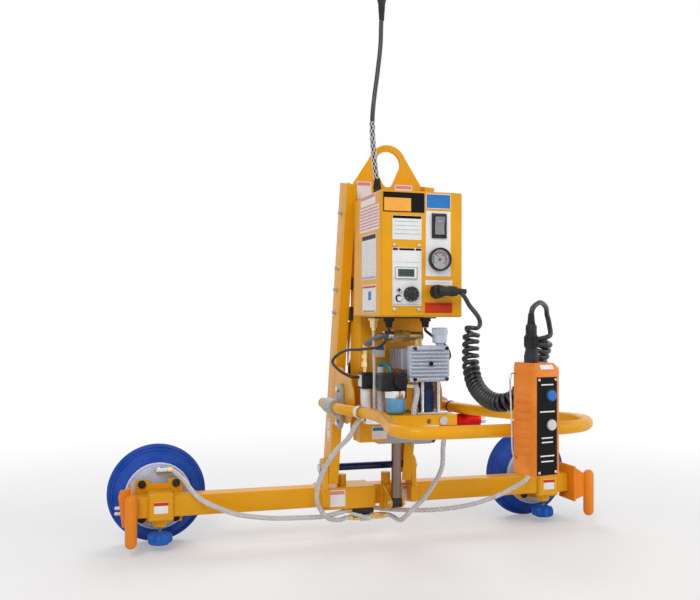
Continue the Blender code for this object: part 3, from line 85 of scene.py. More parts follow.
def make_camera():
    turn, pitch = CAMERA_TURN, CAMERA_PITCH
    ahead = Vector((math.sin(turn) * math.cos(pitch), math.cos(turn) * math.cos(pitch),
                    math.sin(pitch)))
    side = Vector((math.cos(turn), -math.sin(turn), 0))
    up = side.cross(ahead)
    right = side * math.cos(CAMERA_ROLL) + up * math.sin(CAMERA_ROLL)
    top = up * math.cos(CAMERA_ROLL) - side * math.sin(CAMERA_ROLL)
    data = bpy.data.cameras.new("camera")
    data.sensor_width = 36
    data.lens = FOCAL_PIXELS / IMAGE_WIDTH * data.sensor_width
    data.clip_end = 100
    camera = bpy.data.objects.new("camera", data)
    turned = Matrix((right, top, -ahead)).transposed().to_4x4()
    camera.matrix_world = Matrix.Translation(CAMERA_AT) @ turned
    bpy.context.scene.collection.objects.link(camera)
    bpy.context.scene.camera = camera


# Shader helpers

def principled(name, colour, roughness, metallic=0.0):
    made = bpy.data.materials.new(name)
    made.use_nodes = True
    shader = made.node_tree.nodes["Principled BSDF"]
    shader.inputs["Base Color"].default_value = (*colour, 1)
    shader.inputs["Roughness"].default_value = roughness
    shader.inputs["Metallic"].default_value = metallic
    return made, made.node_tree, shader


def noise(tree, scale, detail=4.0, stretch=(1, 1, 1)):
    """A noise texture in the piece's own coordinates."""
    place = tree.nodes.new("ShaderNodeTexCoord")
    mapping = tree.nodes.new("ShaderNodeMapping")
    mapping.inputs["Scale"].default_value = stretch
    texture = tree.nodes.new("ShaderNodeTexNoise")
    texture.inputs["Scale"].default_value = scale
    texture.inputs["Detail"].default_value = detail
    tree.links.new(place.outputs["Object"], mapping.inputs["Vector"])
    tree.links.new(mapping.outputs["Vector"], texture.inputs["Vector"])
    return texture.outputs["Fac"]


def ramp(tree, value, low, high, start=0.3, end=0.7):
    """A colour ramp between two colours."""
    node = tree.nodes.new("ShaderNodeValToRGB")
    node.color_ramp.elements[0].position = start
    node.color_ramp.elements[1].position = end
    node.color_ramp.elements[0].color = (*low, 1)
    node.color_ramp.elements[1].color = (*high, 1)
    tree.links.new(value, node.inputs["Fac"])
    return node.outputs["Color"]


def spread(tree, value, low, high):
    """Maps a 0 to 1 value to a range."""
    node = tree.nodes.new("ShaderNodeMapRange")
    node.inputs["From Min"].default_value = 0.3
    node.inputs["From Max"].default_value = 0.7
    node.inputs["To Min"].default_value = low
    node.inputs["To Max"].default_value = high
    tree.links.new(value, node.inputs["Value"])
    return node.outputs["Result"]


def bump(tree, shader, height, distance, strength=1.0):
    node = tree.nodes.new("ShaderNodeBump")
    node.inputs["Distance"].default_value = distance
    node.inputs["Strength"].default_value = strength
    tree.links.new(height, node.inputs["Height"])
    tree.links.new(node.outputs["Normal"], shader.inputs["Normal"])


def mixed(colour, other, share):
    return tuple(a * (1 - share) + b * share for a, b in zip(colour, other))


def darker(colour, factor):
    return tuple(c * factor for c in colour)


def enamel(name, colour):
    """Sprayed gloss enamel: a fine orange peel, slow changes of tone and a clear top."""
    made, tree, shader = principled(name, colour, 0.34)
    tone = noise(tree, 6, 3)
    tree.links.new(ramp(tree, tone, darker(colour, 0.86), colour), shader.inputs["Base Color"])
    tree.links.new(spread(tree, noise(tree, 30, 5), 0.28, 0.42), shader.inputs["Roughness"])
    shader.inputs["Coat Weight"].default_value = 0.14
    shader.inputs["Specular IOR Level"].default_value = 0.16
    shader.inputs["Coat Roughness"].default_value = 0.12
    bump(tree, shader, noise(tree, 420, 2), 0.00012, 0.5)
    return made


def metal(name, colour, roughness, grain=(1, 1, 1), scale=90):
    """Metal with fine streaks or speckle."""
    made, tree, shader = principled(name, colour, roughness, 1.0)
    streak = noise(tree, scale, 6, grain)
    tree.links.new(ramp(tree, streak, darker(colour, 0.72), colour), shader.inputs["Base Color"])
    tree.links.new(spread(tree, streak, roughness * 0.75, min(1, roughness * 1.35)),
                   shader.inputs["Roughness"])
    bump(tree, shader, streak, 0.00008, 0.35)
    return made


def cast(name, colour):
    """Cast and tumbled light alloy: matt and slightly pitted."""
    made, tree, shader = principled(name, colour, 0.55, 0.45)
    grain = noise(tree, 260, 8)
    tree.links.new(ramp(tree, grain, darker(colour, 0.7), colour), shader.inputs["Base Color"])
    tree.links.new(spread(tree, grain, 0.45, 0.68), shader.inputs["Roughness"])
    bump(tree, shader, grain, 0.0004, 0.5)
    return made


def plastic(name, colour, roughness=0.42, grain=0.00015, gloss=0.16):
    """Moulded plastic or rubber with a faint grain."""
    made, tree, shader = principled(name, colour, roughness)
    shader.inputs["Specular IOR Level"].default_value = gloss
    fine = noise(tree, 600, 3)
    tone = ramp(tree, noise(tree, 14, 3), darker(colour, 0.8), mixed(colour, (1, 1, 1), 0.03))
    tree.links.new(tone, shader.inputs["Base Color"])
    tree.links.new(spread(tree, noise(tree, 45, 5), roughness * 0.85, roughness * 1.2),
                   shader.inputs["Roughness"])
    bump(tree, shader, fine, grain, 0.5)
    return made


def clear_plastic(name, colour, roughness, transmission):
    """Translucent tube or bowl."""
    made, tree, shader = principled(name, colour, roughness)
    shader.inputs["Transmission Weight"].default_value = transmission
    shader.inputs["IOR"].default_value = 1.42
    tone = ramp(tree, noise(tree, 20, 4), darker(colour, 0.85), colour)
    tree.links.new(tone, shader.inputs["Base Color"])
    tree.links.new(spread(tree, noise(tree, 60, 4), roughness * 0.8, roughness * 1.3),
                   shader.inputs["Roughness"])
    return made


def label(name, colour):
    """A bare printed plate or sticker."""
    made, tree, shader = principled(name, colour, 0.38)
    shader.inputs["Specular IOR Level"].default_value = 0.1
    tone = ramp(tree, noise(tree, 40, 4), darker(colour, 0.9), colour)
    tree.links.new(tone, shader.inputs["Base Color"])
    bump(tree, shader, noise(tree, 150, 4), 0.0001, 0.4)
    return made


YELLOW = enamel("yellow_enamel", (0.83, 0.375, 0.005))
ORANGE = enamel("orange_enamel", (0.88, 0.26, 0.012))
ORANGE_PLASTIC = plastic("orange_plastic", (0.86, 0.245, 0.02), 0.42)
BLACK_PLASTIC = plastic("black_plastic", (0.008, 0.008, 0.009), 0.38, gloss=0.22)
BLACK_CORD = plastic("black_cord", (0.005, 0.005, 0.006), 0.28, gloss=0.45)
BLACK_RUBBER = plastic("black_rubber", (0.008, 0.008, 0.009), 0.55, gloss=0.2)
GREY_PLASTIC = plastic("grey_plastic", (0.26, 0.26, 0.28), 0.35)
PAD_RUBBER = plastic("pad_rubber", (0.001, 0.062, 0.42), 0.6, 0.0004)
KNOB_BLUE = plastic("knob_blue", (0.001, 0.105, 0.52), 0.42)
PAD_PLATE = cast("pad_plate_grey", (0.6, 0.64, 0.78))
CAST_GREY = cast("cast_grey", (0.46, 0.48, 0.49))
PUMP_CAST = cast("pump_cast", (0.64, 0.69, 0.8))
MOTOR_GREY = cast("motor_grey", (0.44, 0.45, 0.49))
STEEL = metal("zinc_steel", (0.66, 0.67, 0.68), 0.28)
DARK_STEEL = metal("dark_steel", (0.1, 0.1, 0.11), 0.16, (1, 1, 0.05), 60)
# The rod's brownish dark base colour is a painted reflection of the orange frame and dark
# surroundings in its polished steel.
ROD_STEEL_PAINTED_REFLECTION = metal("rod_steel_painted_reflection", (0.26, 0.19, 0.15), 0.09, (1, 1, 0.05), 60)
CHROME = metal("chrome", (0.8, 0.8, 0.82), 0.08)
NAVY = metal("navy_steel", (0.03, 0.04, 0.1), 0.3)
BRASS = metal("brass", (0.95, 0.7, 0.3), 0.4)
RED_ANODISED = metal("red_anodised", (0.7, 0.02, 0.015), 0.3)
NAVY_PLASTIC = plastic("navy_plastic", (0.012, 0.03, 0.12), 0.4)
CLEAR_HOSE = clear_plastic("clear_hose", (0.72, 0.72, 0.74), 0.25, 0.3)
GREY_HOSE = clear_plastic("grey_hose", (0.2, 0.175, 0.165), 0.35, 0.1)
TEAL_HOSE = clear_plastic("teal_hose", (0.01, 0.16, 0.17), 0.3, 0.1)
BLUE_BOWL = clear_plastic("blue_bowl", (0.16, 0.48, 0.82), 0.2, 0.15)
GLASS = clear_plastic("gauge_glass", (0.95, 0.97, 0.97), 0.03, 0.95)
WHITE = label("white_label", (0.82, 0.83, 0.83))
BLUE_LABEL = label("blue_label", (0.035, 0.2, 0.52))
RED_LABEL = label("red_label", (0.6, 0.045, 0.015))
GREY_LABEL = label("grey_label", (0.42, 0.45, 0.5))
BLACK_LABEL = label("black_label", (0.007, 0.007, 0.008))
ORANGE_LABEL = label("orange_label", (0.92, 0.42, 0.08))
PINK_LABEL = label("pink_label", (0.75, 0.28, 0.3))
GREEN_LABEL = label("green_label", (0.03, 0.35, 0.1))
DISPLAY = plastic("display_green", (0.075, 0.12, 0.09), 0.3)
BUTTON_BLUE = plastic("button_blue", (0.02, 0.18, 0.6), 0.3)
BUTTON_WHITE = plastic("button_white", (0.75, 0.75, 0.73), 0.3)


# Making pieces

def mesh_of(form, name):
    """Ends a form and gives its mesh."""
    mesh = bpy.data.meshes.new(name)
    form.to_mesh(mesh)
    form.free()
    return mesh


def circle(radius, height, steps):
    """Points of a level circle round Z."""
    turns = [2 * math.pi * i / steps for i in range(steps)]
    return [(radius * math.cos(a), radius * math.sin(a), height) for a in turns]


def skin(form, rings, close=True):
    """Faces between rings of points, and over both open ends."""
    for low, high in zip(rings, rings[1:]):
        for i in range(len(low)):
            j = (i + 1) % len(low)
            form.faces.new((low[i], low[j], high[j], high[i]))
    if close:
        form.faces.new(rings[0][::-1])
        form.faces.new(rings[-1])


def link(name, mesh, finish, body, smooth=30, place=None):
    """Links a mesh as a piece that rides on a body."""
    piece = bpy.data.objects.new(name, mesh)
    if finish is not None:
        mesh.materials.append(finish)
    bpy.context.scene.collection.objects.link(piece)
    if place is not None:
        piece.matrix_world = place
    if smooth:
        mesh.shade_smooth()
        mesh.set_sharp_from_angle(angle=math.radians(smooth))
    if body:
        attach(piece, body)
    return piece


def bevelled(piece, width, segments=2):
    """Rounds a piece's edges with a Bevel modifier."""
    if width > 0:
        change = piece.modifiers.new("edges", "BEVEL")
        change.width = width
        change.segments = segments
        change.limit_method = "ANGLE"
        change.angle_limit = math.radians(40)
        change.use_clamp_overlap = True
        change.harden_normals = True
    return piece


def body_of(node):
    for name, nodes in frame["record"]["behaviour"]["bodies"].items():
        if node in nodes:
            return name
    return None


def dressed(node, finish, bevel=0.0006, zones=(), smooth=32):
    """The node's own solid with rounded edges and its finish. Zones give faces that lie in a
    box of the working frame another finish."""
    form = bmesh.new()
    form.from_mesh(bpy.data.objects[node].data)
    bmesh.ops.remove_doubles(form, verts=form.verts, dist=0.00001)
    bmesh.ops.dissolve_limit(form, angle_limit=math.radians(0.5), verts=form.verts,
                             edges=form.edges)
    mesh = bpy.data.meshes.new(f"{node}_dressed")
    finishes = [finish]
    for low, high, other in zones:
        if other not in finishes:
            finishes.append(other)
        low, high = at(*low), at(*high)
        for face in form.faces:
            middle = face.calc_center_median()
            if all(low[i] <= middle[i] <= high[i] for i in range(3)):
                face.material_index = finishes.index(other)
    form.to_mesh(mesh)
    form.free()
    for entry in finishes:
        mesh.materials.append(entry)
    piece = link(f"{node}_dressed", mesh, None, body_of(node), smooth)
    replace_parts(piece, node)
    return bevelled(piece, bevel)


def cuboid(name, low, high, finish, body="frame", bevel=0.0005):
    """A block between two corners of the working frame."""
    low, high = at(*low), at(*high)
    form = bmesh.new()
    bmesh.ops.create_cube(form, size=1)
    size = high - low
    bmesh.ops.scale(form, vec=size, verts=form.verts)
    bmesh.ops.translate(form, vec=(low + high) / 2, verts=form.verts)
    mesh = mesh_of(form, name)
    return bevelled(link(name, mesh, finish, body, 30), bevel)


AXIS_TURNS = {"+Z": Matrix.Identity(4),
              "-Z": Matrix.Rotation(math.pi, 4, "X"),
              "+X": Matrix.Rotation(math.pi / 2, 4, "Y"),
              "-X": Matrix.Rotation(-math.pi / 2, 4, "Y"),
              "-Y": Matrix.Rotation(math.pi / 2, 4, "X"),
              "+Y": Matrix.Rotation(-math.pi / 2, 4, "X")}


def upright_ribs(name, count, centre, radius, half, span, finish, bevel):
    """Small square ribs round an upright axis."""
    for i, (x, y, _) in enumerate(circle(radius, 0, count)):
        x, y = x + centre[0], y + centre[1]
        cuboid(f"{name}_{i}", (x - half, y - half, span[0]), (x + half, y + half, span[1]),
               finish, "frame", bevel)


def turned(name, profile, place, way, finish, body="frame", steps=48, smooth=30, finishes=()):
    """A turned piece. The profile is (radius, height) along the way that it faces. Finishes
    are (lowest height, finish) pairs for its higher parts."""
    form = bmesh.new()
    rings = []
    for radius, height in profile:
        if radius < 1e-6:
            rings.append([form.verts.new((0, 0, height))])
            continue
        rings.append([form.verts.new(p) for p in circle(radius, height, steps)])
    for low, high in zip(rings, rings[1:]):
        for i in range(steps):
            j = (i + 1) % steps
            if len(low) == 1 and len(high) > 1:
                form.faces.new((low[0], high[j], high[i]))
            elif len(high) == 1 and len(low) > 1:
                form.faces.new((low[i], low[j], high[0]))
            elif len(low) > 1:
                form.faces.new((low[i], low[j], high[j], high[i]))
    bmesh.ops.recalc_face_normals(form, faces=form.faces)
    mesh = bpy.data.meshes.new(name)
    palette = [finish]
    for face in form.faces:
        for height, other in finishes:
            if face.calc_center_median().z >= height:
                if other not in palette:
                    palette.append(other)
                face.material_index = palette.index(other)
    form.to_mesh(mesh)
    form.free()
    for entry in palette:
        mesh.materials.append(entry)
    mesh.transform(Matrix.Translation(place) @ AXIS_TURNS[way])
    return link(name, mesh, None, body, smooth)


def hex_bolt(name, place, way, across, height, body, finish=None, washer=True):
    """A hexagon head with chamfered corners on its washer."""
    form = bmesh.new()
    if washer:
        bmesh.ops.create_cone(form, cap_ends=True, segments=28, radius1=across * 0.72,
                              radius2=across * 0.72, depth=0.0012,
                              matrix=Matrix.Translation((0, 0, 0.0006)))
    head = Matrix.Translation((0, 0, height / 2 + 0.0011))
    bmesh.ops.create_cone(form, cap_ends=True, segments=6, radius1=across / math.sqrt(3),
                          radius2=across / math.sqrt(3), depth=height, matrix=head)
    mesh = mesh_of(form, name)
    mesh.transform(Matrix.Translation(place) @ AXIS_TURNS[way])
    return bevelled(link(name, mesh, finish or STEEL, body, 30), height * 0.12)


def smooth_route(points, spacing):
    """Points along a Catmull-Rom curve through the route's own points, straight at both ends."""
    knots = [Vector(p) for p in points]
    knots = [2 * knots[0] - knots[1], *knots, 2 * knots[-1] - knots[-2]]
    route = []
    for i in range(1, len(knots) - 2):
        a, b, c, d = knots[i - 1:i + 3]
        at_end = i == 1 or i == len(knots) - 3
        count = max(2, round((c - b).length / spacing))
        for step in range(count):
            t = step / count
            if at_end:
                route.append(b + (c - b) * t)
                continue
            route.append(0.5 * (2 * b + (c - a) * t + (2 * a - 5 * b + 4 * c - d) * t ** 2
                                + (3 * b - a - 3 * c + d) * t ** 3))
    route.append(knots[-2])
    return route


def sweep(name, path, radii, finish, body, sides=16):
    """A round tube mesh along a path, with a radius for each point."""
    path = [Vector(p) for p in path]
    form = bmesh.new()
    normal = None
    rings = []
    for i, point in enumerate(path):
        before = path[max(i - 1, 0)]
        after = path[min(i + 1, len(path) - 1)]
        along = (after - before).normalized()
        if normal is None:
            start = Vector((0, 0, 1)) if abs(along.z) < 0.9 else Vector((1, 0, 0))
            normal = along.cross(start).normalized()
        normal = (normal - along * normal.dot(along)).normalized()
        other = along.cross(normal)
        radius = radii[i] if isinstance(radii, (list, tuple)) else radii
        rings.append([form.verts.new(point + (normal * math.cos(a) + other * math.sin(a)) * radius)
                      for a in (2 * math.pi * k / sides for k in range(sides))])
    skin(form, rings)
    mesh = mesh_of(form, name)
    return link(name, mesh, finish, body, 50)


def length_of(path):
    return sum((b - a).length for a, b in zip(path, path[1:]))


# Cords

COIL_ROUTE = [(0.104, -0.45, 0.456), (0.104, -0.45, 0.445), (0.098, -0.45, 0.428),
              (0.094, -0.455, 0.396), (0.09, -0.465, 0.361), (0.084, -0.5, 0.323),
              (0.081, -0.56, 0.3), (0.085, -0.615, 0.296), (0.101, -0.64, 0.306),
              (0.125, -0.65, 0.336), (0.143, -0.655, 0.374), (0.151, -0.664, 0.413),
              (0.152, -0.665, 0.427), (0.152, -0.665, 0.438)]
TAIL_START = [(0.0705, -0.4324, 0.5245), (0.078, -0.4324, 0.524), (0.0885, -0.437, 0.511),
              (0.0975, -0.445, 0.488), (0.102, -0.45, 0.469), (0.104, -0.45, 0.4564)]
TAIL_END = [(0.152, -0.665, 0.4384), (0.152, -0.665, 0.448), (0.152, -0.678, 0.47),
            (0.138, -0.699, 0.488), (0.112, -0.722, 0.496), (0.09, -0.736, 0.486),
            (0.086, -0.736, 0.47), (0.086, -0.736, 0.456)]
SUPPLY_ROUTE = [(-0.05, -0.24, 0.7739), (-0.05, -0.24, 0.785), (-0.056, -0.24, 0.83),
                (-0.062, -0.24, 0.9), (-0.062, -0.24, 0.95), (-0.057, -0.24, 1.0),
                (-0.049, -0.24, 1.06), (-0.042, -0.24, 1.13), (-0.04, -0.24, 1.215)]
COIL_RADIUS = 0.0195
WIRE_RADIUS = 0.005
OPEN_PITCH = 0.0158
CLOSE_PITCH = 0.0116
OPEN_UNTIL = 0.11
OPEN_FADE = 0.09
COIL_EASE = 0.022
LEAD_EASE = 0.045
FIRST_ANGLE = 0.8
TURN_POINTS = 16
SUPPLY_RADIUS = 0.0055


def row(points):
    return [at(*p) for p in points]


def coil_pitch(place, total):
    """Open turns where the cord hangs, close turns in its bend, and straight at both ends."""
    ease = min(1.0, place / COIL_EASE, (total - place) / COIL_EASE)
    ease = ease * ease * (3 - 2 * ease)
    open_share = 1 - min(1.0, max(0.0, (place - OPEN_UNTIL) / OPEN_FADE))
    even = CLOSE_PITCH + (OPEN_PITCH - CLOSE_PITCH) * open_share
    return even / max(ease, 0.04)


def helix(axis, radius):
    """The turns round a smooth axis, and how far they stand off it at both ends."""
    total = length_of(axis)
    along = (axis[1] - axis[0]).normalized()
    normal = (Vector((1, 0, 0)) - along * along.x).normalized()
    points = []
    offsets = []
    travelled, angle, i, passed = 0.0, FIRST_ANGLE, 0, 0.0
    while travelled <= total:
        while i < len(axis) - 2 and passed + (axis[i + 1] - axis[i]).length < travelled:
            passed += (axis[i + 1] - axis[i]).length
            i += 1
        step = axis[i + 1] - axis[i]
        along = step.normalized()
        normal = (normal - along * normal.dot(along)).normalized()
        offset = (normal * math.cos(angle) + along.cross(normal) * math.sin(angle)) * radius
        points.append(axis[i] + along * (travelled - passed) + offset)
        offsets.append(offset)
        pitch = coil_pitch(travelled, total)
        advance = min(0.003, pitch / TURN_POINTS)
        angle += 2 * math.pi * advance / pitch
        travelled += advance
    return points, offsets[0], offsets[-1]


def relief(name, start, toward, radius, wide, reach, finish):
    """A tapered and ribbed boot where a cord leaves its plug or gland."""
    profile = [(radius + 0.0001, 0.0), (wide, 0.0)]
    ribs = 6
    for i in range(ribs):
        low = reach * (i + 0.15) / ribs
        high = reach * (i + 0.62) / ribs
        full = wide - (wide - radius) * (i / ribs) * 0.85
        neck = full - (full - radius) * 0.38
        profile += [(full, low), (full, high), (neck, high + reach * 0.04 / ribs),
                    (neck, reach * (i + 1.05) / ribs)]
    profile += [(radius + 0.0008, reach), (radius + 0.0001, reach)]
    return turned(name, profile, start, toward, finish, steps=28, smooth=40)


def eased_aside(path, offset, start, full):
    """Moves a path aside, from nothing at one place along it to all of it at another."""
    moved = []
    travelled = 0.0
    for i, point in enumerate(path):
        if i:
            travelled += (point - path[i - 1]).length
        share = min(1.0, max(0.0, (travelled - start) / (full - start)))
        moved.append(point + offset * (share * share * (3 - 2 * share)))
    return moved


def pendant_cord():
    """The curly cord: its straight tails and its coil are one line."""
    lead = smooth_route(row(TAIL_START), 0.004)
    axis = smooth_route(row(COIL_ROUTE), 0.004)
    end = smooth_route(row(TAIL_END), 0.004)
    coil, first, last = helix(axis, COIL_RADIUS - WIRE_RADIUS)
    lead = eased_aside(lead, first, length_of(lead) - LEAD_EASE, length_of(lead))
    end = eased_aside(end, last, LEAD_EASE, 0.0)
    line = lead[:-1] + coil + end[1:]
    cord = sweep("pendant_cord", line, WIRE_RADIUS, BLACK_CORD, "frame", 10)
    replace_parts(cord, "cord_tail_box", "curly_cord", "cord_tail_pendant")


def supply_cord(plug):
    """The supply cord, held up beside the hoist in a woven grip."""
    line = smooth_route(row(SUPPLY_ROUTE), 0.012)
    cord = sweep("supply_line", line, SUPPLY_RADIUS, BLACK_CORD, "frame", 20)
    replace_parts(cord, "supply_cord")
    boot = relief("supply_relief", line[0], "+Z", SUPPLY_RADIUS, 0.0105, 0.024, BLACK_RUBBER)
    collar = relief("supply_plug_relief", line[-1] - Vector((0, 0, 0.001)), "-Z", SUPPLY_RADIUS,
                    0.0085, 0.035, BLACK_RUBBER)
    braid = woven_grip(line)


GRIP_FROM = 0.022
GRIP_TO = 0.16
GRIP_STRANDS = 10


def woven_grip(line):
    """Pale strands that cross over the cord, like a wire stocking."""
    reached = [0.0]
    for low, high in zip(line, line[1:]):
        reached.append(reached[-1] + (high - low).length)
    form = bmesh.new()
    radius = SUPPLY_RADIUS + 0.0008
    steps = 90
    for strand in range(GRIP_STRANDS):
        way = 1 if strand % 2 else -1
        rings = []
        for step in range(steps + 1):
            target = GRIP_FROM + (GRIP_TO - GRIP_FROM) * step / steps
            i = max(k for k in range(len(line) - 1) if reached[k] <= target)
            share = (target - reached[i]) / (reached[i + 1] - reached[i])
            middle = line[i].lerp(line[i + 1], share)
            angle = 2 * math.pi * strand / GRIP_STRANDS + way * target / 0.014
            weave = 0.0006 * math.sin(target / 0.0185 * GRIP_STRANDS * 0.5 + strand * math.pi)
            out = Vector((math.cos(angle), math.sin(angle), 0))
            middle = middle + out * (radius + weave)
            tangent = Vector((-out.y, out.x, 0))
            rings.append([form.verts.new(middle + (out * math.cos(a) + tangent * math.sin(a) * 1.3)
                                         * 0.0006)
                          for a in (2 * math.pi * k / 6 for k in range(6))])
        skin(form, rings)
    bmesh.ops.recalc_face_normals(form, faces=form.faces)
    mesh = mesh_of(form, "woven_grip")
    return link("woven_grip", mesh, WHITE, "frame", 50)


# Pads

PAD_X = 0.5325
PAD_Z = 0.012


def pad_cup(word, side):
    """The rubber cup: ribs on its web, a rounded lip and a soft back."""
    profile = [(0.0, 0.072), (0.03, 0.072)]
    for ring in range(4):
        r = 0.034 + ring * 0.0115
        profile += [(r, 0.072), (r + 0.0018, 0.0738), (r + 0.005, 0.0738), (r + 0.0068, 0.072)]
    profile += [(0.081, 0.0722), (0.0905, 0.077), (0.1, 0.0868), (0.108, 0.0965),
                (0.115, 0.1052), (0.1168, 0.1066), (0.1205, 0.107), (0.1238, 0.1068),
                (0.1249, 0.105), (0.1248, 0.1018), (0.1232, 0.0985), (0.119, 0.093),
                (0.1145, 0.0868), (0.11, 0.0805), (0.1068, 0.0766), (0.105, 0.0752),
                (0.102, 0.072), (0.0985, 0.0672), (0.0965, 0.0655), (0.093, 0.0612),
                (0.0905, 0.0592), (0.087, 0.0588), (0.0, 0.0588)]
    cup = turned(f"pad_cup_{word}", profile, at(side * PAD_X, 0, PAD_Z), "+Y", PAD_RUBBER,
                 f"carrier_{word}", steps=96, smooth=55)
    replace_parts(cup, f"pad_{word}")
    for ring, (radius, y) in enumerate(((0.1115, 0.0812), (0.118, 0.0905))):
        bead(f"pad_bead_{word}_{ring}", at(side * PAD_X, y, PAD_Z), radius, 0.0016, PAD_RUBBER,
             f"carrier_{word}")
    for spoke in range(8):
        angle = 2 * math.pi * (spoke + 0.5) / 8
        cleat = cuboid(f"pad_cleat_{word}_{spoke}", (0, 0, 0), (0.03, 0.0026, 0.009), PAD_RUBBER,
                       None, 0.0009)
        turn = Matrix.Rotation(-angle, 4, "Y")
        centre = at(side * PAD_X, 0.0733, PAD_Z)
        home = at(0, 0, 0)
        cleat.data.transform(Matrix.Translation(centre) @ turn
                             @ Matrix.Translation(Vector((0.036, -0.0013, -0.0045)) - home))
        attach(cleat, f"carrier_{word}")


def bead(name, place, major, minor, finish, body, way="+Y", steps=96):
    """A round ring bead."""
    form = bmesh.new()
    rings = []
    for i in range(steps):
        angle = 2 * math.pi * i / steps
        out = Vector((math.cos(angle), math.sin(angle), 0))
        rings.append([form.verts.new(out * (major + minor * math.cos(a))
                                     + Vector((0, 0, minor * math.sin(a))))
                      for a in (2 * math.pi * k / 10 for k in range(10))])
    for i in range(steps):
        low, high = rings[i], rings[(i + 1) % steps]
        for k in range(10):
            j = (k + 1) % 10
            form.faces.new((low[k], high[k], high[j], low[j]))
    bmesh.ops.recalc_face_normals(form, faces=form.faces)
    mesh = mesh_of(form, name)
    mesh.transform(Matrix.Translation(place) @ AXIS_TURNS[way])
    return link(name, mesh, finish, body, 60)


def pad_back(word, side):
    """Bosses, stiffening ribs and stud tops on the plate behind the cup."""
    body = f"carrier_{word}"
    dressed(f"pad_plate_{word}", PAD_PLATE, 0.0006,
            [((side * PAD_X - 0.06, 0.0, -0.06), (side * PAD_X + 0.06, 0.052, 0.066), BLACK_RUBBER),
             ((side * PAD_X - 0.04, 0.0, 0.0665), (side * PAD_X + 0.04, 0.0525, 0.09), STEEL)])
    for spoke in range(8):
        angle = 2 * math.pi * spoke / 8
        rib(f"plate_rib_{word}_{spoke}", at(side * PAD_X, 0.0532, PAD_Z), angle, body)
    bead(f"plate_rim_{word}", at(side * PAD_X, 0.0534, PAD_Z), 0.08, 0.002, PAD_PLATE, body)


def rib(name, centre, angle, body):
    """The raised outline of one trapezoid field on the pad plate."""
    corners = [(0.054, 0.1), (0.076, 0.22), (0.076, -0.22), (0.054, -0.1)]
    loop = []
    for radius, turn in corners:
        a = angle + turn
        loop.append(centre + Vector((radius * math.cos(a), 0, radius * math.sin(a))))
    path = []
    for low, high in zip(loop, loop[1:] + loop[:1]):
        path += [low.lerp(high, k / 5) for k in range(5)]
    path.append(loop[0])
    sweep(name, path, 0.0011, PAD_PLATE, body, 8)


def carrier_parts(word, side):
    body = f"carrier_{word}"
    x = side * PAD_X
    dressed(f"pad_carrier_{word}", YELLOW, 0.0009)
    face = -(0.0254 + 0.0078 + 0.0012)
    label_plate(f"carrier_label_{word}", x, face, 0.0, 0.034, 0.028, WHITE, body)
    label_plate(f"carrier_header_{word}", x, face - 0.0005, 0.009, 0.034, 0.008, RED_LABEL, body)
    for sx in (-1, 1):
        for sz in (-1, 1):
            place = at(x + sx * 0.042, 0.034, 0.004 + sz * 0.043)
            profile = [(0.0, -0.0068), (0.0045, -0.0068), (0.0052, -0.006), (0.0052, -0.003),
                       (0.0096, -0.003), (0.0098, -0.001), (0.0098, 0.0), (0.0, 0.0)]
            turned(f"bush_{word}_{sx + 1}{sz + 1}", profile, place, "+Y",
                   BLACK_RUBBER, body, 24)
    knob(word, side)


def label_plate(name, x, y, z, width, height, finish, body="frame", thick=0.0006):
    """A thin bare plate that faces the viewer."""
    return cuboid(name, (x - width / 2, y - thick, z - height / 2),
                  (x + width / 2, y, z + height / 2), finish, body, 0.0002)


def knob(word, side):
    """The lobed hand knob with soft edges, and its screw."""
    body = f"knob_{word}"
    x = side * PAD_X
    steps = 96
    form = bmesh.new()
    layers = [(-0.096, 0.0, 0.1), (-0.096, 0.62, 0.2), (-0.0945, 0.8, 0.55),
              (-0.0905, 0.95, 0.9), (-0.085, 1.0, 1.0), (-0.0765, 1.0, 1.0),
              (-0.0715, 0.94, 0.9), (-0.069, 0.8, 0.6), (-0.0675, 0.62, 0.2),
              (-0.066, 0.5, 0.0), (-0.065, 0.46, 0.0), (-0.0646, 0.3, 0.0)]
    rings = []
    for z, share, lobed in layers:
        if share == 0.0:
            rings.append([form.verts.new(at(x, 0, z))])
            continue
        ring = []
        for i in range(steps):
            angle = 2 * math.pi * i / steps
            radius = share * (0.0315 - 0.0075 * lobed * (0.5 - 0.5 * math.cos(7 * angle)))
            ring.append(form.verts.new(at(x + radius * math.cos(angle),
                                          radius * math.sin(angle), z)))
        rings.append(ring)
    for low, high in zip(rings, rings[1:]):
        for i in range(steps):
            j = (i + 1) % steps
            if len(low) == 1:
                form.faces.new((low[0], high[i], high[j]))
            else:
                form.faces.new((low[i], low[j], high[j], high[i]))
    form.faces.new(rings[-1])
    bmesh.ops.recalc_face_normals(form, faces=form.faces)
    mesh = mesh_of(form, f"knob_grip_{word}")
    grip = link(f"knob_grip_{word}", mesh, KNOB_BLUE, body, 40)
    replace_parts(grip, f"clamp_knob_{word}")
    profile = [(0.0, 0.0), (0.0048, 0.0)]
    thread = 20
    for i in range(thread):
        z = 0.0385 * i / thread
        profile += [(0.0048, z + 0.0006), (0.0043, z + 0.0012)]
    profile += [(0.0046, 0.039), (0.0, 0.039)]
    turned(f"knob_screw_{word}", profile, at(x, 0, -0.065), "+Z", STEEL, body, 20)
    turned(f"knob_cap_{word}", [(0.0, 0.0), (0.0085, 0.0), (0.009, 0.001), (0.006, 0.0016),
                                (0.0, 0.0018)], at(x, 0, -0.0918), "-Z", STEEL, body, 24)


# Hoses

def flexible(name, node, route):
    """A clear hose swept along a smooth route between two bodies; it rides on neither."""
    line = smooth_route(row(route), 0.008)
    piece = sweep(name, line, HOSE_RADIUS, CLEAR_HOSE, None, 20)
    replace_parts(piece, node)
    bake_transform(piece)


# Structure

LEG_OUTER_X = 0.1135
LEAN = math.atan2(0.173 - 0.028, 0.794 - 0.077)
FAR = 2.0


def leg_y(z):
    """The leg's middle line at a height."""
    return -0.028 - (z - 0.077) * math.tan(LEAN)


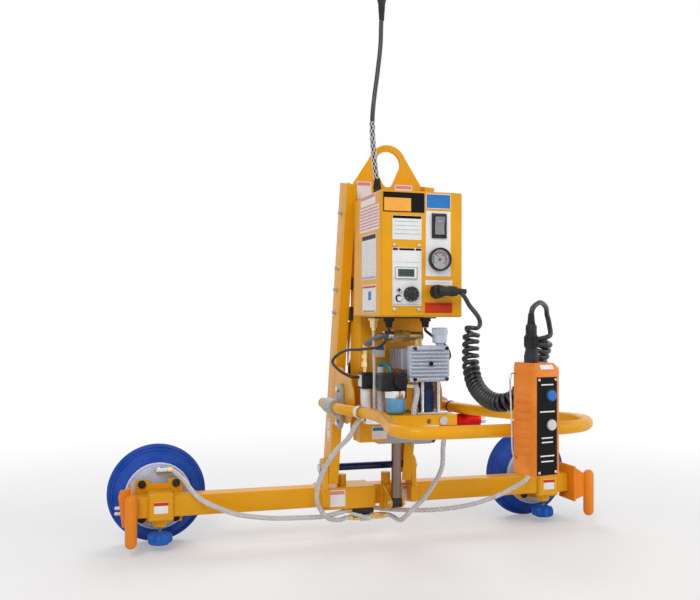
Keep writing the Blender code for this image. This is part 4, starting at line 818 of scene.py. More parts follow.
def beyond(side, x, low=(-FAR, -FAR), high=(FAR, FAR)):
    """The zone outside a plane across X, on one side of the object."""
    near, far = sorted((side * x, side * FAR))
    return (near, low[0], low[1]), (far, high[0], high[1])


def structure():
    for word, side in (("left", -1), ("right", 1)):
        dressed(f"{word}_leg", YELLOW, 0.001, [(*beyond(side, LEG_OUTER_X + 0.0002), STEEL)])
        for i, z in enumerate((0.722, 0.588, 0.535, 0.478)):
            hex_bolt(f"{word}_leg_nut_{i}", at(side * (LEG_OUTER_X + 0.005), leg_y(z), z),
                     "-X" if side < 0 else "+X", 0.009, 0.004, "frame", washer=False)
        dressed(f"handle_clamp_{word}", CAST_GREY, 0.0012,
                [(*beyond(side, 0.1225, (-FAR, 0.285)), STEEL),
                 ((*beyond(side, 0.1225)[0][:2], 0.195), (*beyond(side, 0.1225)[1][:2], 0.215),
                  STEEL)])
    dressed("lifting_bail", YELLOW, 0.0012)
    spacers = [((side * 0.084 - 0.0038, -FAR, 0.2), (side * 0.084 + 0.0038, FAR, 0.76),
                BLACK_PLASTIC) for side in (-1, 1)]
    pin = [((0.04, -0.0915, 0.41), (0.0447, -0.078, 0.43), STEEL),
           ((0.0712, -0.0915, 0.41), (0.077, -0.078, 0.43), STEEL)]
    dressed("trunk", YELLOW, 0.001, spacers + pin)
    dressed("pump_shelf", YELLOW, 0.0006,
            [((-0.092, -0.295, 0.2), (-0.04, -0.24, 0.2436), CHROME),
             ((0.045, -0.4, 0.222), (0.07, -0.3885, 0.246), STEEL)])
    dressed("pivot_shaft", NAVY, 0.0008,
            [(*beyond(-1, 0.1265), STEEL), (*beyond(1, 0.1265), STEEL)])
    dressed("reservoir", CHROME, 0.0003, [((-0.1, -0.2, 0.27), (0.1, 0.1, 0.3445), BLACK_PLASTIC)])


HANDLE_ROUTE = [(-0.137, -0.085), (-0.137, -0.15), (-0.137, -0.2), (-0.137, -0.22),
                (-0.132, -0.255), (-0.116, -0.293), (-0.102, -0.345), (-0.101, -0.42),
                (-0.118, -0.5), (-0.14, -0.59), (-0.142, -0.638), (-0.118, -0.669),
                (-0.06, -0.681), (0.0, -0.683), (0.1, -0.683), (0.19, -0.677),
                (0.25, -0.652), (0.288, -0.605), (0.294, -0.562), (0.272, -0.518),
                (0.225, -0.45), (0.178, -0.37), (0.15, -0.3), (0.139, -0.235),
                (0.137, -0.19), (0.137, -0.1)]
HANDLE_Z = 0.25
HANDLE_RADIUS = 0.0127


def handle():
    route = smooth_route([at(x, y, HANDLE_Z) for x, y in HANDLE_ROUTE], 0.008)
    tube = sweep("handle_tube", route, HANDLE_RADIUS, YELLOW, "frame", 32)
    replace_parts(tube, "handlebar")
    for i, end in enumerate((route[0], route[-1])):
        profile = [(0.0, -0.001), (0.012, -0.001), (0.0129, 0.0), (0.0129, 0.004),
                   (0.0118, 0.0052), (0.0, 0.0058)]
        turned(f"handle_cap_{i}", profile, end, "+Y", BLACK_PLASTIC, "frame", 32)
    for i, y in enumerate((-0.3, -0.312)):
        ring_at = Vector(at(-0.1135, y, HANDLE_Z))
        band(f"handle_band_{i}", ring_at, (0.3, -1.0, 0.0), HANDLE_RADIUS + 0.0007, 0.0032,
             STEEL if i else WHITE)


def band(name, place, along, radius, half, finish, body="frame"):
    """A strap or clamp ring round a tube."""
    profile = [(radius - 0.0006, -half), (radius + 0.0004, -half), (radius + 0.0008, -half * 0.7),
               (radius + 0.0008, half * 0.7), (radius + 0.0004, half), (radius - 0.0006, half)]
    ring = turned(name, profile, Vector((0, 0, 0)), "+Z", finish, None, 40)
    turn = Vector((0, 0, 1)).rotation_difference(Vector(along).normalized()).to_matrix().to_4x4()
    ring.data.transform(Matrix.Translation(place) @ turn)
    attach(ring, body)


# Crossarm

def left_bracket():
    """The left grip's bracket plate, and the two studs that hold it on the beam's end."""
    outline = [(-0.6064, 0.049), (-0.629, 0.047), (-0.6335, 0.032), (-0.624, -0.042),
               (-0.6064, -0.046)]
    form = bmesh.new()
    rims = [[form.verts.new(at(x, y, z)) for x, z in outline] for y in (-0.031, -0.025)]
    form.faces.new(rims[0])
    form.faces.new(rims[1][::-1])
    for i in range(len(outline)):
        j = (i + 1) % len(outline)
        form.faces.new((rims[0][i], rims[1][i], rims[1][j], rims[0][j]))
    bmesh.ops.recalc_face_normals(form, faces=form.faces)
    mesh = mesh_of(form, "grip_bracket")
    bevelled(link("grip_bracket", mesh, ORANGE, "crossarm", 30), 0.0012)
    for i, (y, z) in enumerate(((-0.018, 0.002), (-0.006, -0.014))):
        turned(f"grip_stud_{i}", [(0.0, 0.0), (0.004, 0.0), (0.004, 0.0335), (0.003, 0.035),
                                  (0.0, 0.035)], at(-0.6064, y, z), "-X", STEEL, "crossarm", 20)
        hex_bolt(f"grip_nut_{i}", at(-0.627, y, z), "-X", 0.0075, 0.007, "crossarm")


def crossarm():
    clevis_bolts = [((0.03, -0.093, -0.02), (0.04, -0.077, -0.004), STEEL),
                    ((0.076, -0.093, -0.02), (0.09, -0.077, -0.004), STEEL)]
    dressed("crossarm", YELLOW, 0.0011, clevis_bolts)
    for word, side in (("left", -1), ("right", 1)):
        finish_zone = [(*beyond(side, 0.6066, (-0.02, -FAR)), STEEL)]
        dressed(f"end_handle_{word}", ORANGE, 0.001, finish_zone if side < 0 else ())
        carrier_parts(word, side)
        pad_cup(word, side)
        pad_back(word, side)
    left_bracket()
    dressed("ball_valve", STEEL, 0.0004,
            [((-0.1, -0.06, -0.07), (-0.0205, 0.0, -0.045), BRASS),
             ((0.0032, -0.06, -0.07), (0.1, 0.0, -0.045), BRASS),
             ((-0.1, -0.06, -0.0445), (0.1, 0.0, -0.028), BLACK_PLASTIC)])
    dressed("valve_lever", STEEL, 0.0004)
    # The rod's finish carries a painted reflection in its brownish dark base colour.
    dressed("actuator_rod", ROD_STEEL_PAINTED_REFLECTION, 0.0006,
            [((0.0, -0.2, -0.05), (0.1, 0.0, 0.015), BLACK_PLASTIC)])
    dressed("actuator_gearbox", CAST_GREY, 0.0012,
            [((0.0, -0.2, 0.2052), (0.1, 0.0, 0.404), BLACK_PLASTIC)])
    dressed("actuator_motor", CAST_GREY, 0.0006,
            [((0.1395, -0.2, 0.1), (0.2, 0.0, 0.2), BLACK_PLASTIC)])


PAD_HOSE_LEFT = [(-0.5108, 0.0365, 0.078), (-0.5, 0.0365, 0.078), (-0.476, 0.0, 0.06),
                 (-0.46, -0.04, 0.04), (-0.435, -0.06, 0.017), (-0.3898, -0.06, -0.006),
                 (-0.3435, -0.06, -0.0234), (-0.27, -0.06, -0.036),
                 (-0.2002, -0.06, -0.04), (-0.13, -0.056, -0.042),
                 (-0.08, -0.038, -0.039), (-0.06, -0.028, -0.0375),
                 (-0.0446, -0.028, -0.0375)]
PAD_HOSE_RIGHT = [(0.5108, 0.0365, 0.078), (0.5, 0.0365, 0.078), (0.488, 0.0, 0.06),
                  (0.472, -0.04, 0.043), (0.445, -0.06, 0.02), (0.3999, -0.06, -0.002),
                  (0.3499, -0.06, -0.02), (0.2849, -0.058, -0.036),
                  (0.2199, -0.056, -0.043), (0.16, -0.05, -0.045),
                  (0.11, -0.026, -0.047), (0.07, -0.006, -0.047),
                  (0.048, -0.0065, -0.044), (0.033, -0.011, -0.04),
                  (0.022, -0.018, -0.0372), (0.0116, -0.018, -0.0372)]
VALVE_HOSE_LEFT = [(-0.0912, -0.268, 0.231), (-0.0985, -0.268, 0.231),
                   (-0.108, -0.256, 0.212), (-0.116, -0.228, 0.18),
                   (-0.133, -0.185, 0.145), (-0.15, -0.15, 0.1),
                   (-0.16, -0.118, 0.05), (-0.154, -0.095, 0.0),
                   (-0.125, -0.076, -0.04), (-0.085, -0.045, -0.056),
                   (-0.06, -0.03, -0.055), (-0.0424, -0.03, -0.055)]
VALVE_HOSE_RIGHT = [(0.0923, -0.262, 0.232), (0.0985, -0.262, 0.232),
                    (0.108, -0.259, 0.213), (0.123, -0.242, 0.178), (0.139, -0.2, 0.142),
                    (0.153, -0.156, 0.079), (0.124, -0.128, 0.011), (0.091, -0.116, -0.025),
                    (0.07, -0.104, -0.05), (0.069, -0.072, -0.06),
                    (0.068, -0.045, -0.059), (0.057, -0.03, -0.055),
                    (0.041, -0.03, -0.055)]
HOSE_RADIUS = 0.006


def hoses():
    flexible("pad_line_left", "pad_hose_left", PAD_HOSE_LEFT)
    flexible("pad_line_right", "pad_hose_right", PAD_HOSE_RIGHT)
    flexible("valve_line_left", "valve_hose_left", VALVE_HOSE_LEFT)
    flexible("valve_line_right", "valve_hose_right", VALVE_HOSE_RIGHT)
    ferrule("pad_nut_left", at(-0.5105, 0.0365, 0.078), (1, 0, 0), 0.0078, 0.011, "carrier_left")
    ferrule("pad_nut_right", at(0.5105, 0.0365, 0.078), (-1, 0, 0), 0.0078, 0.011,
            "carrier_right")
    ferrule("block_nut_left", at(-0.0446, -0.028, -0.0375), (-1, 0, 0), 0.0076, 0.01,
            "crossarm")
    ferrule("block_nut_right", at(0.0116, -0.018, -0.0372), (1, 0, 0), 0.0074, 0.008,
            "crossarm")
    ferrule("valve_nut_left", at(-0.0424, -0.03, -0.055), (-1, 0, 0), 0.0076, 0.01,
            "crossarm")
    ferrule("valve_nut_right", at(0.041, -0.03, -0.055), (1, 0, 0), 0.0076, 0.01,
            "crossarm")
    ferrule("shelf_nut_left", at(-0.0912, -0.268, 0.231), (-1, 0, 0), 0.0076, 0.008, "frame")
    ferrule("shelf_nut_right", at(0.0923, -0.262, 0.232), (1, 0, 0), 0.0076, 0.008, "frame")


def ferrule(name, place, along, radius, length, body):
    """A ribbed push-on ferrule that grips a hose's end."""
    inner = 0.0058
    profile = [(inner, 0.0), (radius, 0.0), (radius, length * 0.42),
               (radius - 0.0007, length * 0.5), (radius - 0.0007, length * 0.62),
               (radius, length * 0.7), (radius, length * 0.92),
               (radius - 0.0006, length), (inner, length)]
    ring = turned(name, profile, Vector((0, 0, 0)), "+Z", BRASS, None, 24)
    turn = Vector((0, 0, 1)).rotation_difference(Vector(along).normalized()).to_matrix().to_4x4()
    ring.data.transform(Matrix.Translation(Vector(place)) @ turn)
    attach(ring, body)


# Control box

PANEL_Y = -0.4051
GAUGE_AT = (0.04, 0.596)


def control_box():
    dressed("control_box", YELLOW, 0.0022,
            [((-0.07, -0.26, 0.7479), (-0.03, -0.22, 0.8), BLACK_PLASTIC)])
    dressed("box_lid", YELLOW, 0.0004,
            [((0.0075, -0.42, 0.5575), (0.0685, PANEL_Y + 0.0001, 0.7045), WHITE),
             ((-0.0715, -0.42, 0.4915), (-0.0015, PANEL_Y + 0.0001, 0.6205), WHITE),
             ((-0.0715, -0.42, 0.6375), (-0.0015, PANEL_Y + 0.0001, 0.6925), WHITE),
             ((-0.0665, -0.42, 0.5505), (-0.0125, PANEL_Y - 0.0005, 0.5785), WHITE),
             ((0.0215, -0.42, 0.643), (0.0575, PANEL_Y - 0.0005, 0.699), BLACK_PLASTIC),
             ((-0.0455, -0.43, 0.501), (-0.011, PANEL_Y - 0.0005, 0.5355), BLACK_PLASTIC),
             ((-0.062, -0.42, 0.5215), (-0.051, PANEL_Y - 0.0005, 0.5315), BLACK_PLASTIC)])
    plate("load_plate", (-0.0925, 0.699), (0.0045, 0.7425), BLACK_LABEL)
    plate("load_field", (-0.0905, 0.701), (-0.0275, 0.73), ORANGE_LABEL, 0.0003)
    plate("blue_plate", (0.008, 0.709), (0.068, 0.7425), WHITE)
    plate("blue_plate_field", (0.0095, 0.7105), (0.0665, 0.741), BLUE_LABEL, 0.0003)
    plate("note_header", (-0.07, 0.685), (-0.003, 0.691), BLACK_LABEL)
    for i in range(4):
        z = 0.679 - i * 0.0092
        plate(f"note_line_{i}", (-0.066, z - 0.001), (-0.007, z), GREY_LABEL, 0.0001)
    for i, (x0, x1) in enumerate(((-0.07, -0.058), (-0.055, -0.019), (-0.016, -0.003))):
        plate(f"instrument_dash_{i}", (x0, 0.6145), (x1, 0.619), BLACK_LABEL, 0.0001)
    plate("instrument_rule", (-0.069, 0.588), (-0.004, 0.5886), GREY_LABEL, 0.0001)
    plate("instrument_foot", (-0.069, 0.495), (-0.004, 0.4956), BLUE_LABEL, 0.0001)
    plate("gauge_strip", (0.007, 0.5385), (0.072, 0.5495), WHITE)
    plate("gauge_strip_line", (0.011, 0.5436), (0.068, 0.5444), GREY_LABEL, 0.0001)
    plate("red_plate", (0.007, 0.477), (0.072, 0.5), RED_LABEL)
    plate("red_plate_line", (0.01, 0.4955), (0.069, 0.4962), BLACK_LABEL, 0.0001)
    plate("display_glass", (-0.0588, 0.5562), (-0.0202, 0.5728), DISPLAY, 0.0021)
    for i, (low, high) in enumerate((((-0.0655, 0.5515), (-0.0135, 0.5523)),
                                     ((-0.0655, 0.5767), (-0.0135, 0.5775)),
                                     ((-0.0655, 0.5515), (-0.0647, 0.5775)),
                                     ((-0.0143, 0.5515), (-0.0135, 0.5775)))):
        plate(f"display_edge_{i}", low, high, BLACK_LABEL, 0.004)
    for i in range(4):
        x = -0.0545 + i * 0.0085
        digit(f"display_digit_{i}", x, 0.5595)
    for i, (x, z) in enumerate(((-0.066, 0.626), (-0.008, 0.626), (-0.066, 0.484),
                                (-0.008, 0.484))):
        screw(f"panel_screw_{i}", x, z, 0.0042)
    sounder()
    gauge()
    side_labels()
    dressed("rocker_switch", GREY_PLASTIC, 0.0008)
    plate("rocker_mark_high", (0.0345, 0.68), (0.0445, 0.6814), WHITE, 0.0072)
    dressed("test_button", CHROME, 0.0006)
    bead("test_button_ring", at(-0.0565, PANEL_Y - 0.0008, 0.51), 0.0062, 0.0009, DARK_STEEL,
         "frame")
    dressed("box_fittings", BLACK_PLASTIC, 0.0006,
            [((-0.095, -0.315, 0.42), (-0.062, -0.285, 0.464), BRASS)])
    dressed("pendant_plug", BLACK_PLASTIC, 0.0012)
    relief("plug_relief", at(*TAIL_START[0]), "+X", WIRE_RADIUS, 0.0075, 0.022, BLACK_RUBBER)
    for i in range(12):
        angle = 2 * math.pi * i / 12
        y = -0.4324 + 0.0105 * math.cos(angle)
        z = 0.5245 + 0.0105 * math.sin(angle)
        cuboid(f"plug_grip_{i}", (0.052, y - 0.0008, z - 0.0008), (0.066, y + 0.0008, z + 0.0008),
               BLACK_PLASTIC, "frame", 0.0004)


def plate(name, low, high, finish, proud=0.0):
    """A bare printed plate or field on the lid's face."""
    face = PANEL_Y - 0.0002 - proud
    return cuboid(name, (low[0], face - 0.0003, low[1]), (high[0], face + 0.0006, high[1]),
                  finish, "frame", 0.00015)


def digit(name, x, z):
    """A seven-segment figure on the display."""
    height, width, thick = 0.01, 0.0052, 0.0009
    y = PANEL_Y - 0.0029
    for i, (x0, z0, x1, z1) in enumerate(((0, 0, width, thick),
                                          (0, height / 2, width, height / 2 + thick),
                                          (0, height, width, height + thick),
                                          (0, 0, thick, height),
                                          (width - thick, 0, width, height))):
        cuboid(f"{name}_{i}", (x + x0, y, z + z0), (x + x1, y + 0.0003, z + z1), BLACK_LABEL,
               "frame", 0.0)


def screw(name, x, z, radius, y=PANEL_Y, body="frame"):
    """A pan head with a cross recess, facing the viewer."""
    form = bmesh.new()
    steps = 24
    rings = []
    for share, height in ((1.0, 0.0), (1.0, 0.0008), (0.85, 0.0017), (0.55, 0.0022)):
        rings.append([form.verts.new(p) for p in circle(radius * share, height, steps)])
    skin(form, rings, False)
    floor = []
    for i in range(steps):
        angle = 2 * math.pi * i / steps
        in_cross = abs(math.sin(2 * angle)) < 0.5
        reach = radius * (0.5 if in_cross else 0.16)
        floor.append(form.verts.new((reach * math.cos(angle), reach * math.sin(angle),
                                     0.0022 if not in_cross else 0.0014)))
    for i in range(steps):
        j = (i + 1) % steps
        form.faces.new((rings[-1][i], rings[-1][j], floor[j], floor[i]))
    form.faces.new(floor)
    form.faces.new(rings[0][::-1])
    mesh = mesh_of(form, name)
    mesh.transform(Matrix.Translation(at(x, y, z)) @ AXIS_TURNS["-Y"])
    return link(name, mesh, STEEL, body, 35)


def sounder():
    """The round alarm's slotted dome and the collar of the reset button."""
    middle = at(-0.028, PANEL_Y - 0.008, 0.518)
    profile = [(0.0168, 0.0), (0.0168, 0.0022), (0.0158, 0.0032), (0.0118, 0.0034),
               (0.0112, 0.0046), (0.009, 0.0062), (0.006, 0.0072), (0.0022, 0.0076),
               (0.0018, 0.006), (0.0, 0.006)]
    turned("sounder_cap", profile, middle, "-Y", BLACK_PLASTIC, "frame", 48)
    for i in range(10):
        angle = 2 * math.pi * i / 10
        x = -0.028 + 0.0142 * math.cos(angle)
        z = 0.518 + 0.0142 * math.sin(angle)
        cuboid(f"sounder_tooth_{i}", (x - 0.0011, PANEL_Y - 0.0124, z - 0.0011),
               (x + 0.0011, PANEL_Y - 0.0108, z + 0.0011), GREY_PLASTIC, "frame", 0.0004)
    bead("reset_collar", at(-0.056, PANEL_Y - 0.0036, 0.5265), 0.0042, 0.0008, STEEL, "frame")
    bead("test_collar", at(-0.056, PANEL_Y - 0.0004, 0.5075), 0.0064, 0.0009, BLACK_PLASTIC,
         "frame")


def sector(name, x, y, z, inner, outer, start, end, finish):
    """A flat arc on a dial. Angles run clockwise from straight up, in degrees."""
    form = bmesh.new()
    steps = max(2, round(abs(end - start) / 6))
    rows = []
    for i in range(steps + 1):
        angle = math.radians(start + (end - start) * i / steps)
        way = Vector((math.sin(angle), 0, math.cos(angle)))
        rows.append([form.verts.new(at(x, y + depth, z) + way * radius)
                     for radius, depth in ((inner, 0), (outer, 0), (outer, 0.0002),
                                           (inner, 0.0002))])
    skin(form, rows)
    bmesh.ops.recalc_face_normals(form, faces=form.faces)
    mesh = mesh_of(form, name)
    return link(name, mesh, finish, "frame", 0)


def gauge():
    """The vacuum gauge: case with a rolled rim, dial with its scale, glass and needle."""
    x, z = GAUGE_AT
    dressed("gauge_body", BLACK_PLASTIC, 0.0006)
    dressed("gauge_needle", BLACK_PLASTIC, 0.0002)
    back = PANEL_Y - 0.0003
    turned("gauge_dial", [(0.0, 0.0), (0.0219, 0.0), (0.0219, 0.0004), (0.0, 0.0004)],
           at(x, back - 0.00235, z), "-Y", WHITE, "frame", 64)
    bead("gauge_rim", at(x, back - 0.0122, z), 0.0242, 0.0013, BLACK_PLASTIC, "frame")
    turned("gauge_window", [(0.0, 0.0), (0.0224, 0.0), (0.0224, 0.0008), (0.0, 0.0008)],
           at(x, back - 0.0094, z), "-Y", GLASS, "frame", 64)
    face = back - 0.00305
    sector("dial_low_arc", x, face, z, 0.0142, 0.0172, -125, -62, GREEN_LABEL)
    sector("dial_high_arc", x, face, z, 0.0142, 0.0172, -50, 125, RED_LABEL)
    for i in range(25):
        angle = -130 + 260 * i / 24
        long_mark = i % 4 == 0
        sector(f"dial_tick_{i}", x, face, z, 0.0176, 0.0206 if long_mark else 0.0192,
               angle - (1.6 if long_mark else 0.8), angle + (1.6 if long_mark else 0.8),
               BLACK_LABEL)
    for i in range(7):
        angle = math.radians(-130 + 260 * i / 6)
        number(f"dial_number_{i}", str(5 * i), at(x + 0.0122 * math.sin(angle), face,
                                                 z + 0.0122 * math.cos(angle)), 0.0044)
    turned("needle_hub", [(0.0, 0.0), (0.003, 0.0), (0.003, 0.0008), (0.0022, 0.0014),
                          (0.0, 0.0016)], at(x, back - 0.0055, z), "-Y", BLACK_PLASTIC, "needle",
           24)


def number(name, text, place, size):
    """A plain number, facing the viewer."""
    data = bpy.data.curves.new(name, "FONT")
    data.body = text
    data.size = size
    data.extrude = 0.00008
    data.align_x = "CENTER"
    data.align_y = "CENTER"
    made = bpy.data.objects.new(name, data)
    bpy.context.scene.collection.objects.link(made)
    bpy.context.view_layer.update()
    mesh = bpy.data.meshes.new_from_object(made)
    mesh.name = name
    bpy.data.objects.remove(made)
    mesh.transform(Matrix.Translation(place) @ Matrix.Rotation(math.pi / 2, 4, "X"))
    return link(name, mesh, BLACK_LABEL, "frame", 0)


def side_labels():
    """Bare labels on the box's left side."""
    fields = ((-0.366, -0.262, 0.722, 0.746, WHITE), (-0.364, -0.264, 0.737, 0.7445, PINK_LABEL),
              (-0.392, -0.256, 0.662, 0.718, WHITE), (-0.372, -0.272, 0.552, 0.655, WHITE),
              (-0.37, -0.274, 0.643, 0.653, BLACK_LABEL), (-0.37, -0.274, 0.554, 0.559, GREY_LABEL),
              (-0.372, -0.278, 0.478, 0.54, WHITE), (-0.37, -0.28, 0.533, 0.5375, RED_LABEL),
              (-0.366, -0.284, 0.4795, 0.4815, BLACK_LABEL), (-0.34, -0.32, 0.505, 0.525,
                                                              BLUE_LABEL))
    for i, (y0, y1, z0, z1, finish) in enumerate(fields):
        thick = 0.0004 if finish is WHITE else 0.0007
        cuboid(f"side_label_{i}", (-0.0975 - thick, y0, z0), (-0.097, y1, z1), finish, "frame",
               0.00015)
    for i in range(7):
        z = 0.714 - i * 0.0072
        cuboid(f"side_rule_{i}", (-0.0981, -0.389, z - 0.0034), (-0.0975, -0.259, z), PINK_LABEL,
               "frame", 0.0001)
    for i in range(14):
        z = 0.636 - i * 0.0057
        cuboid(f"side_line_{i}", (-0.098, -0.366, z - 0.0006), (-0.0975, -0.278, z), GREY_LABEL,
               "frame", 0.0001)


# Pump group on the shelf

PUMP_X, PUMP_Z = 0.0285, 0.3625


def pump():
    dressed("pump_base", STEEL, 0.0006)
    dressed("pump_head", PUMP_CAST, 0.0007)
    dressed("pump_motor", MOTOR_GREY, 0.0008,
            [((0.018, -0.358, 0.252), (0.055, -0.32, 0.321), NAVY_PLASTIC)])
    for sx in (-1, 1):
        for sz in (-1, 1):
            socket_screw(f"head_screw_{sx + 1}{sz + 1}", PUMP_X + sx * 0.0385,
                         PUMP_Z + sz * 0.0345, -0.3862, 0.0042)
    socket_screw("head_screw_middle", PUMP_X, PUMP_Z, -0.3862, 0.0048)
    upright_ribs("drive_rib", 14, (0.0365, -0.339), 0.0181, 0.001, (0.26, 0.298),
                 NAVY_PLASTIC, 0.0005)
    band("drive_cap_ring", at(0.0365, -0.339, 0.305), (0, 0, 1), 0.0186, 0.005, BLACK_PLASTIC)
    for i in range(4):
        hex_bolt(f"case_bolt_{i}", at(-0.0068, -0.34 + 0.022 * (i % 2), 0.35 + 0.024 * (i // 2)),
                 "-X", 0.006, 0.0035, "frame")
    filter_top()
    dressed("check_valve", BRASS, 0.0005,
            [((-0.06, -0.33, 0.4), (-0.0345, -0.29, 0.44), STEEL),
             ((-0.11, -0.33, 0.4), (-0.0575, -0.25, 0.44), GREY_HOSE)])
    dressed("solenoid_valve", BLACK_PLASTIC, 0.0006,
            [((-0.12, -0.3, 0.24), (-0.06, -0.24, 0.3005), STEEL),
             ((-0.12, -0.3, 0.24), (-0.06, -0.24, 0.275), WHITE),
             ((-0.12, -0.3, 0.24), (-0.06, -0.24, 0.26), BRASS),
             ((-0.12, -0.3, 0.3395), (-0.06, -0.24, 0.4), BRASS)])
    cuboid("coil_tag", (-0.1034, -0.289, 0.306), (-0.1029, -0.263, 0.333), WHITE, "frame", 0.0001)
    cuboid("coil_plug", (-0.0985, -0.3005, 0.309), (-0.079, -0.2935, 0.331), BLACK_RUBBER, "frame",
           0.0012)
    dressed("filter_head", BLACK_PLASTIC, 0.001,
            [((-0.0215, -0.37, 0.304), (0.0, -0.35, 0.32), BRASS),
             ((-0.07, -0.38, 0.28), (-0.01, -0.32, 0.3003), CHROME),
             ((-0.072, -0.35, 0.3412), (-0.04, -0.3, 0.37), TEAL_HOSE)])
    turned("filter_dial", [(0.0, 0.0), (0.0148, 0.0), (0.0152, 0.001), (0.0146, 0.0022),
                           (0.012, 0.0024), (0.0116, 0.0016), (0.0, 0.0016)],
           at(-0.0415, -0.3855, 0.324), "-Y", BLACK_PLASTIC, "frame", 48)
    dressed("filter_bowl", BLUE_BOWL, 0.0004)
    pump_casing()
    upright_ribs("bowl_rib", 10, (-0.042, -0.35), 0.0222, 0.0009, (0.256, 0.28),
                 BLUE_BOWL, 0.0004)
    line = smooth_route(row([(-0.064, -0.31, 0.2483), (-0.064, -0.31, 0.3),
                             (-0.064, -0.31, 0.353)]), 0.01)
    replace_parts(sweep("riser_tube", line, 0.0085, CLEAR_HOSE, "frame", 24), "riser_hose")
    line = smooth_route(row([(-0.004, -0.362, 0.312), (0.001, -0.362, 0.312),
                             (0.0045, -0.3635, 0.302), (0.001, -0.368, 0.285),
                             (-0.0055, -0.374, 0.269), (-0.008, -0.376, 0.258),
                             (-0.008, -0.376, 0.2483)]), 0.004)
    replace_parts(sweep("filter_tube", line, 0.0065, CLEAR_HOSE, "frame", 20), "filter_hose")
    for name, node, route in (("coil_lead", "coil_cable", COIL_CABLE),
                              ("motor_lead", "motor_cable", MOTOR_CABLE)):
        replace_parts(sweep(name, smooth_route(row(route), 0.005), 0.0034, BLACK_CORD, "frame", 16),
                    node)
    dressed("air_silencer", RED_ANODISED, 0.0005,
            [((0.1915, -0.32, 0.2), (0.25, -0.27, 0.25), STEEL)])
    band("cable_tie", at(0.1405, -0.244, HANDLE_Z), (0.15, -1.0, 0), HANDLE_RADIUS + 0.0008, 0.003,
         BLACK_PLASTIC)
    for i in range(16):
        band(f"silencer_ridge_{i}", at(0.1055 + i * 0.0049, -0.292, HANDLE_Z - 0.0283), (1, 0, 0),
             0.0151, 0.0015, RED_ANODISED)


def pump_casing():
    """The ribbed casing over the pump's crankcase, and the small loop of wire beside the head."""
    low, high = (PUMP_X - 0.04, -0.3615, 0.344), (PUMP_X + 0.04, -0.226, 0.396)
    cuboid("pump_casing", low, high, MOTOR_GREY, "frame", 0.003)
    for i in range(7):
        y = -0.353 + i * 0.019
        for word, x in (("left", PUMP_X - 0.0425), ("right", PUMP_X + 0.039)):
            cuboid(f"casing_rib_{word}_{i}", (x, y, 0.3465), (x + 0.0035, y + 0.007, 0.3935),
                   PUMP_CAST if i == 2 else MOTOR_GREY, "frame", 0.0012)
    route = smooth_route(row([(PUMP_X + 0.038, -0.356, 0.38), (PUMP_X + 0.045, -0.356, 0.377),
                              (PUMP_X + 0.0545, -0.356, 0.364), (PUMP_X + 0.045, -0.356, 0.351),
                              (PUMP_X + 0.038, -0.356, 0.349)]), 0.003)
    sweep("head_lead", route, 0.0021, BLACK_CORD, "frame", 12)
    line = smooth_route(row([(-0.0785, -0.3, 0.444), (-0.078, -0.3, 0.4),
                             (-0.079, -0.308, 0.35), (-0.08, -0.312, 0.3),
                             (-0.08, -0.312, 0.2485)]), 0.006)
    sweep("bulkhead_hose", line, 0.0034, CLEAR_HOSE, "frame", 16)


COIL_CABLE = [(-0.051, -0.33, 0.4428), (-0.051, -0.33, 0.436), (-0.07, -0.33, 0.402),
              (-0.105, -0.3, 0.393), (-0.134, -0.255, 0.388), (-0.156, -0.23, 0.364),
              (-0.144, -0.245, 0.342), (-0.12, -0.272, 0.327), (-0.1034, -0.272, 0.327)]
MOTOR_CABLE = [(0.038, -0.33, 0.4428), (0.038, -0.33, 0.437), (0.06, -0.325, 0.422),
               (0.09, -0.325, 0.402), (0.104, -0.32, 0.375), (0.09, -0.312, 0.3625),
               (0.0665, -0.312, 0.3625)]


def socket_screw(name, x, z, y, radius):
    """A cap screw with a six-sided recess, facing the viewer."""
    steps = 24
    form = bmesh.new()
    rings = []
    for share, height in ((1.0, 0.0), (1.0, 0.0036), (0.9, 0.0042), (0.55, 0.0042)):
        rings.append([form.verts.new(p) for p in circle(radius * share, height, steps)])
    for height in (0.0042, 0.0018):
        ring = []
        for i in range(steps):
            angle = 2 * math.pi * i / steps
            local = (angle + math.pi / 6) % (math.pi / 3) - math.pi / 6
            reach = radius * 0.46 / math.cos(local)
            ring.append(form.verts.new((reach * math.cos(angle), reach * math.sin(angle), height)))
        rings.append(ring)
    skin(form, rings, False)
    form.faces.new(rings[-1])
    form.faces.new(rings[0][::-1])
    bmesh.ops.recalc_face_normals(form, faces=form.faces)
    mesh = mesh_of(form, name)
    mesh.transform(Matrix.Translation(at(x, y, z)) @ AXIS_TURNS["-Y"])
    return link(name, mesh, DARK_STEEL, "frame", 35)


def filter_top():
    """The intake filter: a knurled cap on a neck."""
    steps = 120
    low = PUMP_Z + 0.0405 + 0.0003
    top = 0.4435
    layers = [(0.009, low, 0), (0.009, low + 0.004, 0), (0.0165, low + 0.006, 0),
              (0.0165, top - 0.0165, 0), (0.018, top - 0.016, 1), (0.018, top - 0.003, 1),
              (0.0172, top - 0.0016, 0), (0.015, top - 0.0002, 0), (0.006, top, 0)]
    form = bmesh.new()
    rings = []
    for radius, z, knurled in layers:
        ring = []
        for i in range(steps):
            angle = 2 * math.pi * i / steps
            reach = radius - knurled * 0.0011 * (i % 4 in (2, 3))
            ring.append(form.verts.new(at(0.059 + reach * math.cos(angle),
                                          -0.365 + reach * math.sin(angle), z)))
        rings.append(ring)
    skin(form, rings)
    mesh = mesh_of(form, "filter_cap")
    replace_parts(link("filter_cap", mesh, PUMP_CAST, "frame", 25), "intake_filter")


# Pendant

PENDANT_AT = (0.095, -0.736, 0.2795)
PENDANT_TURN = math.radians(10)
PENDANT_WIDTH = 0.061
PENDANT_DEPTH = 0.07
PENDANT_HEIGHT = 0.207
BUTTON_X = 0.006
BUTTON_HEIGHTS = (0.324, 0.27)
BUTTON_WELL = 0.0104


